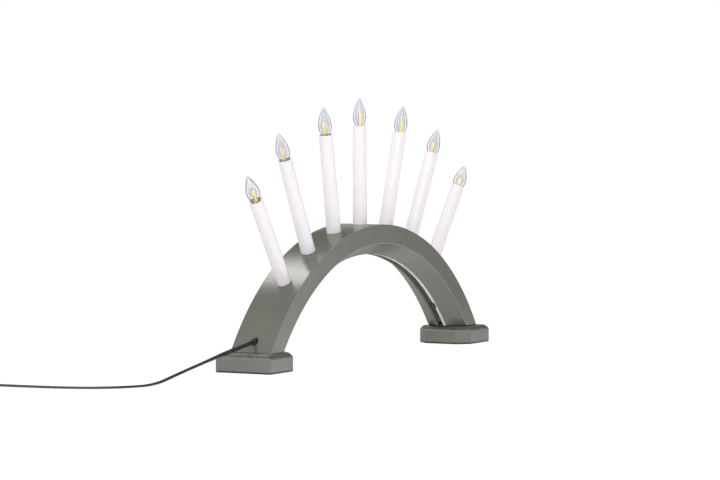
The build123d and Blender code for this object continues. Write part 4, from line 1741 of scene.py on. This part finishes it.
@dataclass
class Feet:
    """Two wooden blocks with a bevelled top and clipped inner corners, their felt pads and screws."""

    end_x: float = 243.0 * MM
    length: float = 57.4 * MM
    depth: float = 62.6 * MM
    height: float = 18.9 * MM
    clip: float = 12.2 * MM
    shoulder: tuple[Pair, ...] = (
        (5.0 * MM, 0.0),
        (4.3 * MM, 0.12 * MM),
        (3.6 * MM, 0.45 * MM),
        (2.9 * MM, 1.0 * MM),
        (1.0 * MM, 2.9 * MM),
        (0.45 * MM, 3.6 * MM),
        (0.12 * MM, 4.4 * MM),
        (0.0, 5.2 * MM),
    )
    slope_range: Pair = (0.35, 0.9)
    # Band below the foot's top where paler paint paints a highlight.
    worn_edge: Pair = (3.5 * MM, 5.4 * MM)
    least_slope: float = 0.05
    corner_radius: float = 1.2 * MM
    edge_width: float = 0.45 * MM
    edge_segments: int = 3
    edge_angle: float = 30.0
    crease: float = 29.0
    pad_thickness: float = 1.6 * MM
    pad_inset: float = 0.15 * MM
    screw_x: float = 204.0 * MM
    screw_spacing: float = 24.0 * MM
    screw_radius: float = 2.0 * MM
    screw_length: float = 36.0 * MM
    screw_point: float = 5.0 * MM
    screw_head: float = 4.0 * MM
    screw_head_angle: float = 82.0
    screw_clearance: float = 0.05 * MM
    thread_from: float = 14.0 * MM
    thread_pitch: float = 1.8 * MM
    thread_depth: float = 0.4 * MM
    thread_rows: int = 90
    screw_segments: int = 32
    hole_segments: int = 40
    overrun: float = 2.0 * MM

    def build(self, geometry: GeometryTools, wardrobe: Wardrobe) -> None:
        """Build both feet, both pads and all the screws."""
        for side in Side:
            levels = [(self.pad_thickness, 0.0)]
            levels += [(self.height - drop, inset) for drop, inset in self.shoulder]
            foot = self._block(f"{side.word}_block", side, levels)
            cut(foot, [self._countersinks(side)])
            foot = soften(foot, self.edge_width, self.edge_segments, self.edge_angle)
            foot = shade(foot, self.crease)
            self._paint(foot, wardrobe)
            fit(foot, None, "feet", f"{side.word}_foot")
            flat = ((0.0, self.pad_inset), (self.pad_thickness, self.pad_inset))
            pad = self._block(f"{side.word}_felt", side, flat)
            geometry.apply(pad, geometry.felt, Material=wardrobe[FELT])
            fit(pad, wardrobe[FELT], "felt", f"{side.word}_foot_pad")
        self._screws(geometry, wardrobe)

    def _paint(self, foot: Piece, wardrobe: Wardrobe) -> None:
        """Paint a foot, with painted shade on its sloping faces (darker paint) and a painted highlight along
        the edge under them (paler paint).
        """
        coats = (FOOT_PAINT, SLOPE_SHADE_PAINT, EDGE_HIGHLIGHT_PAINT)
        wardrobe.lay_on(foot, coats)
        low, high = self.slope_range
        start, end = self.worn_edge
        for face in foot.data.polygons:
            slope, drop = face.normal.z, self.height - face.center.z
            # Paler paint on the band below the top is a painted highlight; darker paint on the slopes is
            # painted shade.
            if self.least_slope < slope < high and start < drop < end:
                face.material_index = coats.index(EDGE_HIGHLIGHT_PAINT)
            elif low < slope < high:
                face.material_index = coats.index(SLOPE_SHADE_PAINT)

    def _block(self, name: str, side: Side, levels: Sequence[Pair]) -> Piece:
        """Stack the foot's plan at several heights, each drawn in by its own inset."""
        half = self.depth / 2
        start, end = -self.end_x, self.length - self.end_x
        plan = [
            (start, -half),
            (end - self.clip, -half),
            (end, self.clip - half),
            (end, half - self.clip),
            (end - self.clip, half),
            (start, half),
        ]
        rings = []
        for height, inset in levels:
            corners = [(x, y, self.corner_radius) for x, y in drawn_in(plan, inset)]
            rings.append([(-side.value * x, y, height) for x, y in round_corners(corners, EDGE_STEPS)])
        return lofted(name, rings)

    def _head_height(self) -> float:
        """Height of a countersunk head."""
        return (self.screw_head - self.screw_radius) / tan(radians(self.screw_head_angle / 2))

    def _countersinks(self, side: Side) -> Piece:
        """Shapes of the two screw holes in a foot."""
        bore = self.screw_radius + self.screw_clearance
        head = self.screw_head + self.screw_clearance
        profile = [
            (0.0, -self.overrun),
            (head, -self.overrun),
            (head, 0.0),
            (bore, self._head_height()),
            (bore, self.height + self.overrun),
            (0.0, self.height + self.overrun),
        ]
        places = self._screw_places(side, self.pad_thickness)
        shapes = [(profile, Matrix.Translation(place)) for place in places]
        return gathered("countersinks", shapes, self.hole_segments)

    def _screw_places(self, side: Side, height: float) -> list[Place]:
        """Where a foot's two screws stand."""
        return [(side.value * self.screw_x, row * self.screw_spacing / 2, height) for row in (-1, 1)]

    def _screws(self, geometry: GeometryTools, wardrobe: Wardrobe) -> None:
        """Turn one screw, cut its thread, and set it out at all four places."""
        shank_end = self.screw_length - self.screw_point
        head = self._head_height()
        profile = [(0.0, 0.0), (self.screw_head, 0.0), (self.screw_radius, head)]
        run = shank_end - head
        for row in range(1, self.thread_rows + 1):
            profile.append((self.screw_radius, head + run * row / self.thread_rows))
        profile.append((0.0, self.screw_length - self.screw_clearance))
        screw = turned("screw_blank", profile, self.screw_segments)
        geometry.apply(
            screw,
            geometry.thread,
            Pitch=self.thread_pitch,
            Depth=self.thread_depth,
            From=self.thread_from,
            To=self.screw_length,
            Material=wardrobe[STEEL],
        )
        under_head = self.pad_thickness + self.screw_clearance
        places = [place for side in Side for place in self._screw_places(side, under_head)]
        screws = mesh_object("wood_screws", places, [])
        geometry.apply(screws, geometry.set_out, Piece=screw, Material=wardrobe[STEEL])
        discard(screw)
        fit(shade(screws, TURNED_CREASE), wardrobe[STEEL], "screws", "foot_screws")


# Wiring


@dataclass
class Wiring:
    """The two wires in the groove, the splice past the last candle and the lead's rubber bush."""

    ring: Ring
    exit: LeadExit
    groove_radius: float
    mouth_radius: float
    wire_radius: float = 1.0 * MM
    wire_spacing: float = 2.6 * MM
    clearance: float = 0.1 * MM
    wander: float = 0.28 * MM
    splice_radius: float = 2.25 * MM
    splice_length: float = 9.0 * MM
    splice_angle: float = 43.5
    slack: tuple[Pair, ...] = (
        (-1.8 * MM, 0.9 * MM),
        (-0.4 * MM, 1.1 * MM),
        (1.0 * MM, 1.0 * MM),
        (2.0 * MM, 1.7 * MM),
    )
    slack_radius: float = 0.85 * MM
    slack_span: Pair = (-12.0, 48.3)
    drift: tuple[float, float, float] = (0.3 * MM, 23.0, 2.1)
    sag: tuple[float, float, float] = (0.35 * MM, 31.0, 4.0)
    wire_steps: int = 60
    slack_steps: int = 80
    red_wire: Pair = (1.55 * MM, 1.4 * MM)
    red_radius: float = 0.42 * MM
    lump_depth: float = -0.9 * MM
    lump_across: float = -2.6 * MM
    lump_radius: float = 2.7 * MM
    lump_lead: float = 1.5
    lump_stations: int = 26
    lump_sides: int = 36
    lump_core_share: float = 0.92
    lump_bluntness: float = 0.28
    lump_end_share: float = 0.02
    lump_wraps: tuple[tuple[float, float, float], ...] = ((0.045, 9.0 * pi, 1.0), (0.035, 11.0, 3.0))
    bush_radius: float = 3.3 * MM
    bush_tip_radius: float = 2.55 * MM
    bush_bore_radius: float = 2.2 * MM
    bush_rounding: float = 0.55 * MM
    bush_lip: float = 0.35 * MM
    bush_segments: int = 56

    def build(self, geometry: GeometryTools, wardrobe: Wardrobe) -> None:
        """Build and dress the wires, the splice and the bush. Only the looks have the slack strands."""
        brown, red = wardrobe[WIRE], wardrobe[RED_WIRE]
        fit(self._wires(geometry, brown), brown, "lead_insulation", "groove_wires")
        slack = self._slack("slack_wires", self.slack, self.slack_radius, geometry, brown)
        fit(slack, brown, "lead_insulation")
        slack = self._slack("slack_red_wire", (self.red_wire,), self.red_radius, geometry, red)
        fit(slack, red, "lead_insulation")
        buried = self.ring.place(self.groove_radius - self.clearance - self.splice_radius, self.splice_angle)
        splice = self._lump("taped_splice", buried, self.splice_radius)
        fit(splice, wardrobe[TAPE], "splice", "wire_splice")
        lump_angle = self.splice_angle - self.lump_lead
        lump_place = self.ring.place(self.mouth_radius + self.lump_depth, lump_angle, self.lump_across)
        lump = self._lump("tape_lump", lump_place, self.lump_radius)
        fit(lump, wardrobe[TAPE], "splice")
        fit(self._bush(), wardrobe[RUBBER], "bush", "cord_bush")
        dress("cord_tail", wardrobe[LEAD])
        dress("candle_leads", wardrobe[WIRE])

    def _wires(self, geometry: GeometryTools, material: Material) -> Piece:
        """Lay both wires from the lead to the splice."""
        radius = self.groove_radius - self.clearance - self.wire_radius
        inward = self.exit.frame @ Vector((0.0, 0.0, -self.exit.tail_depth(self.groove_radius)))
        start = degrees(atan2(inward.x, inward.z - self.ring.centre) + self.wire_radius / radius)
        end = self.splice_angle - degrees(self.splice_length / 2 / radius)
        angles = [start + (end - start) * step / self.wire_steps for step in range(self.wire_steps + 1)]
        strands = [
            [self.ring.place(radius - self.wander, angle, side * self.wire_spacing / 2) for angle in angles]
            for side in (-1, 1)
        ]
        return geometry.laid(
            "groove_wire_pair",
            strands,
            material,
            Radius=self.wire_radius,
            Step=1.6 * MM,
            Wander=self.wander,
            Waves=55.0,
            Sides=16,
        )

    def _slack(
        self,
        name: str,
        strands: Sequence[Pair],
        radius: float,
        geometry: GeometryTools,
        material: Material,
    ) -> Piece:
        """Lay slack strands near the groove's mouth.

        Args:
            name: Name of the piece.
            strands: Place across the groove and depth below its mouth of each strand.
            radius: Radius of a strand.
            geometry: The Geometry Nodes trees.
            material: The strands' material.

        Returns:
            The strands in one piece.
        """
        start, end = self.slack_span
        laid = []
        for number, (across, depth) in enumerate(strands):
            points = []
            for step in range(self.slack_steps + 1):
                share = step / self.slack_steps
                height = self.mouth_radius + depth + self._sway(share, number, *self.sag)
                aside = across + self._sway(share, number, *self.drift)
                points.append(self.ring.place(height, start + (end - start) * share, aside))
            laid.append(points)
        return geometry.laid(
            name, laid, material, Radius=radius, Step=1.2 * MM, Wander=0.45 * MM, Waves=120.0, Sides=14
        )

    @staticmethod
    def _sway(share: float, number: int, size: float, waves: float, shift: float) -> float:
        """How far a strand strays, at a share of its length."""
        return size * sin(waves * share + shift * number)

    def _lump(self, name: str, centre: Vector, radius: float) -> Piece:
        """A lump of tape and shrunk sleeve, wound unevenly round a joint."""
        place = frame_at(centre, Vector((0.0, 1.0, 0.0)), self.ring.along(self.splice_angle))
        wraps = self.lump_wraps
        rings = []
        for station in range(self.lump_stations + 1):
            share = station / self.lump_stations
            inside = min(max(share, self.lump_end_share), 1.0 - self.lump_end_share)
            swell = sin(pi * inside) ** self.lump_bluntness
            height = (share - 0.5) * self.splice_length
            ring = []
            for index in range(self.lump_sides):
                angle = 2 * pi * index / self.lump_sides
                wrap = sum(size * sin(turns * share + lobes * angle) for size, turns, lobes in wraps)
                reach = radius * swell * (self.lump_core_share + wrap)
                ring.append(place @ Vector((reach * cos(angle), reach * sin(angle), height)))
            rings.append(ring)
        return shade(lofted(name, rings), SOFT_CREASE)

    def _bush(self) -> Piece:
        """Turn the bush, with a rounded nose and a lip round the lead."""
        depth, nose = self.exit.bush_depth, self.exit.bush_nose
        outline = [
            (self.bush_bore_radius, -depth, 0.0),
            (self.bush_radius, -depth, self.bush_lip),
            (self.bush_radius, self.bush_lip, self.bush_lip),
            (self.bush_tip_radius, nose, self.bush_rounding),
            (self.bush_bore_radius, nose, 0.0),
        ]
        profile = round_corners(outline, EDGE_STEPS)
        return placed("rubber_bush", profile, self.bush_segments, self.exit.frame, TURNED_CREASE)


# Candles and lamps


@dataclass
class Candles:
    """The seven plastic tubes and the lampholders in their mouths."""

    foot_radius: float = 7.5 * MM
    rim_radius: float = 6.87 * MM
    bore_radius: float = 6.0 * MM
    length: float = 102.4 * MM
    seat_depth: float = 6.0 * MM
    rim_rounding: float = 0.34 * MM
    rows: int = 16
    crease: float = 34.0
    segments: int = 96

    def build(self, frames: Sequence[Matrix], wardrobe: Wardrobe) -> None:
        """Build each tube and dress what its mouth holds."""
        for number, place in enumerate(frames, start=1):
            outline = [
                (self.bore_radius, -self.seat_depth, 0.0),
                (self.foot_radius, -self.seat_depth, 0.0),
                (self.foot_radius, 0.0, 0.0),
            ]
            for row in range(1, self.rows):
                share = row / self.rows
                radius = self.foot_radius + (self.rim_radius - self.foot_radius) * share
                outline.append((radius, self.length * share, 0.0))
            outline.append((self.rim_radius, self.length, self.rim_rounding))
            outline.append((self.bore_radius, self.length, self.rim_rounding))
            profile = round_corners(outline, EDGE_STEPS)
            tube = placed(f"candle_{number}", profile, self.segments, place, self.crease)
            fit(tube, wardrobe[CANDLE], "candle_plastic", f"candle_tube_{number}")
            dress(f"lampholder_{number}", wardrobe[HOLDER])
        dress("holder_shells", wardrobe[BRASS])
        dress("holder_rivets", wardrobe[BRASS])


@dataclass
class Lamps:
    """The seven lamps: threaded cap, flame-shaped glass, and a yellow stick between two wires."""

    tube_length: float = 102.4 * MM
    cap_radius: float = 4.76 * MM
    cap_wall: float = 0.36 * MM
    cap_recess: float = 0.4 * MM
    cap_length: float = 12.4 * MM
    cap_shoulder: float = 2.0 * MM
    cap_floor_radius: float = 2.6 * MM
    thread_pitch: float = 1.814 * MM
    thread_depth: float = 0.3 * MM
    thread_rows: int = 72
    glass_height: float = 29.0 * MM
    glass_radius: float = 7.05 * MM
    glass_wall: float = 0.6 * MM
    neck_clearance: float = 0.06 * MM
    neck_length: float = 3.4 * MM
    tip_radius: float = 1.45 * MM
    tip_angle: float = 21.0
    height_shares: tuple[float, ...] = (0.09, 0.19, 0.33, 0.51, 0.65, 0.80, 0.92)
    radius_shares: tuple[float, ...] = (0.80, 0.94, 1.0, 0.88, 0.71, 0.48, 0.27)
    stem_radius: float = 1.7 * MM
    stem_sink: float = 1.6 * MM
    stick_radius: float = 0.8 * MM
    bead_sink: float = 0.45 * MM
    stick_length: float = 14.0 * MM
    stick_sink: float = 0.9 * MM
    stick_spacing: float = 2.2 * MM
    wire_radius: float = 0.25 * MM
    bridge_rise: float = 1.2 * MM
    bend_radius: float = 0.8 * MM
    stick_turns: tuple[float, ...] = (60.0, -125.0, -115.0, 75.0, 150.0, -70.0, 40.0)
    stick_rounding_share: float = 0.7
    curve_steps: int = 7
    bend_steps: int = 6
    segments: int = 72
    cap_segments: int = 56
    disc_segments: int = 48
    stick_segments: int = 28

    @property
    def cap_top(self) -> float:
        """Height of the cap's open end above the bow."""
        return self.tube_length - self.cap_recess

    @property
    def neck(self) -> float:
        """Radius of the glass where it stands in the cap."""
        return self.cap_radius - self.cap_wall - self.neck_clearance

    def build(self, frames: Sequence[Matrix], geometry: GeometryTools, wardrobe: Wardrobe) -> None:
        """Build and dress each lamp."""
        for number, place in enumerate(frames, start=1):
            body = f"lamp_{number}"
            turned_place = place @ Matrix.Rotation(radians(self.stick_turns[number - 1]), 4, "Z")
            cap = self._cap(number, place, geometry, wardrobe[CAP_METAL])
            fit(cap, wardrobe[CAP_METAL], "lamp_metal", f"lamp_cap_{number}", body=body)
            glass = self._glass(number, place)
            fit(glass, wardrobe[GLASS], "lamp_glass", f"lamp_glass_{number}", body=body)
            stick = self._stick(number, turned_place)
            fit(stick, wardrobe[PHOSPHOR], "filament", f"lamp_filament_{number}", body=body)
            fit(self._neck_disc(number, place), wardrobe[NECK_DISC_GLOW], "lamp_bead", body=body)
            wires = self._wires(number, turned_place, geometry, wardrobe[WIRE_STEEL])
            fit(wires, wardrobe[WIRE_STEEL], "filament", body=body)
            dress(f"lamp_contact_{number}", wardrobe[BEAD])

    def _cap(self, number: int, place: Matrix, geometry: GeometryTools, material: Material) -> Piece:
        """Turn a screw cap and roll its thread."""
        bottom, inner = self.cap_top - self.cap_length, self.cap_radius - self.cap_wall
        shoulder = bottom + self.cap_shoulder
        profile = [(self.cap_floor_radius, bottom), (self.cap_floor_radius + self.cap_wall, bottom)]
        for row in range(self.thread_rows + 1):
            profile.append((self.cap_radius, shoulder + (self.cap_top - shoulder) * row / self.thread_rows))
        for row in range(self.thread_rows, -1, -1):
            low = shoulder + self.cap_wall
            profile.append((inner, low + (self.cap_top - low) * row / self.thread_rows))
        profile.append((self.cap_floor_radius, bottom + self.cap_wall))
        cap = turned(f"screw_cap_{number}", profile, self.cap_segments)
        geometry.apply(
            cap,
            geometry.thread,
            Pitch=self.thread_pitch,
            Depth=self.thread_depth,
            From=shoulder,
            To=self.cap_top - self.neck_length,
            Material=material,
        )
        cap.data.transform(place)
        return shade(cap, SOFT_CREASE)

    def _flame(self, inset: float) -> Outline:
        """Side of the flame from its neck to its tip, less an inset."""
        tilt = radians(self.tip_angle)
        tip_radius = self.tip_radius - inset / 2
        tip = self.tube_length + self.glass_height - 2 * inset
        side = [(self.neck - inset, self.cap_top)]
        for width, height in zip(self.radius_shares, self.height_shares):
            side.append((self.glass_radius * width - inset, self.tube_length + self.glass_height * height))
        side.append((tip_radius * cos(tilt), tip - tip_radius + tip_radius * sin(tilt)))
        curve = smooth_through(side, self.curve_steps)
        for step in range(1, self.curve_steps + 1):
            angle = tilt + (pi / 2 - tilt) * step / self.curve_steps
            radius = 0.0 if step == self.curve_steps else tip_radius * cos(angle)
            curve.append((radius, tip - tip_radius + tip_radius * sin(angle)))
        return curve

    def _glass(self, number: int, place: Matrix) -> Piece:
        """Turn the glass: an even wall, closed at the neck round its stem."""
        foot = self.cap_top - self.neck_length
        floor = foot + self.glass_wall
        stem_top = self.tube_length - self.stem_sink
        profile = [(0.0, foot), (self.neck, foot)]
        profile += self._flame(0.0)
        profile += list(reversed(self._flame(self.glass_wall)))
        profile += [
            (self.neck - self.glass_wall, floor),
            (self.stem_radius, floor),
            (self.stem_radius, stem_top),
            (0.0, stem_top),
        ]
        return placed(f"flame_glass_{number}", profile, self.segments, place, SOFT_CREASE)

    def _neck_disc(self, number: int, place: Matrix) -> Piece:
        """Turn the pale disc in the neck, under the stick, which only the looks have. Its faint glow is
        painted light.
        """
        radius = self.neck - self.glass_wall - self.neck_clearance
        low, high = self.tube_length - self.stem_sink, self.tube_length - self.bead_sink
        profile = [(0.0, low), (radius, low), (radius, high), (0.0, high)]
        return placed(f"neck_disc_{number}", profile, self.disc_segments, place, TURNED_CREASE)

    def _stick(self, number: int, place: Matrix) -> Piece:
        """Turn the coated stick, rounded at both ends."""
        foot = self.tube_length - self.stick_sink
        rounding = self.stick_radius * self.stick_rounding_share
        outline = [
            (0.0, foot, 0.0),
            (self.stick_radius, foot, rounding),
            (self.stick_radius, foot + self.stick_length, rounding),
            (0.0, foot + self.stick_length, 0.0),
        ]
        profile = round_corners(outline, EDGE_STEPS)
        aside = place @ Matrix.Translation((-self.stick_spacing / 2, 0.0, 0.0))
        return placed(f"lit_stick_{number}", profile, self.stick_segments, aside, SOFT_CREASE)

    def _wires(
        self, number: int, place: Matrix, geometry: GeometryTools, material: Material
    ) -> Piece:
        """Bend the two wires that hold the stick, the longer one hooked over its top."""
        half = self.stick_spacing / 2
        stem = self.tube_length - self.stem_sink
        foot = self.tube_length - self.stick_sink
        top = foot + self.stick_length
        bridge = top + self.bridge_rise
        hook = [(half, stem)]
        hook += self._bend(half - self.bend_radius, bridge - self.bend_radius, 0.0)
        hook += self._bend(self.bend_radius - half, bridge - self.bend_radius, 90.0)
        hook.append((-half, top))
        strands = [[(x, 0.0, z) for x, z in strand] for strand in (hook, [(-half, stem), (-half, foot)])]
        return geometry.laid(
            f"stick_wires_{number}",
            strands,
            material,
            place,
            Radius=self.wire_radius,
            Step=0.3 * MM,
            Wander=0.0,
            Waves=200.0,
            Sides=10,
        )

    def _bend(self, x: float, z: float, start: float) -> Outline:
        """A quarter bend about a centre, from a starting angle in degrees."""
        angles = [radians(start + 90.0 * step / self.bend_steps) for step in range(self.bend_steps + 1)]
        return [(x + self.bend_radius * cos(angle), z + self.bend_radius * sin(angle)) for angle in angles]


def main() -> None:
    """Build the whole arch around its frame."""
    logging.basicConfig(level=logging.INFO, format="%(message)s")
    ring = Ring()
    row = CandleRow()
    way_out = LeadExit(ring)
    Studio().build()
    geometry = GeometryTools()
    wardrobe = Wardrobe(ring)
    plug = Plug().build(geometry, wardrobe)
    Lead(way_out).build(wardrobe, plug)
    bow = Bow(ring, row, way_out)
    bow.build(wardrobe)
    Feet().build(geometry, wardrobe)
    Wiring(ring, way_out, bow.groove_radius, bow.nose_radius).build(geometry, wardrobe)
    frames = row.frames(ring)
    Candles().build(frames, wardrobe)
    Lamps().build(frames, geometry, wardrobe)


if __name__ == "__main__":
    main()
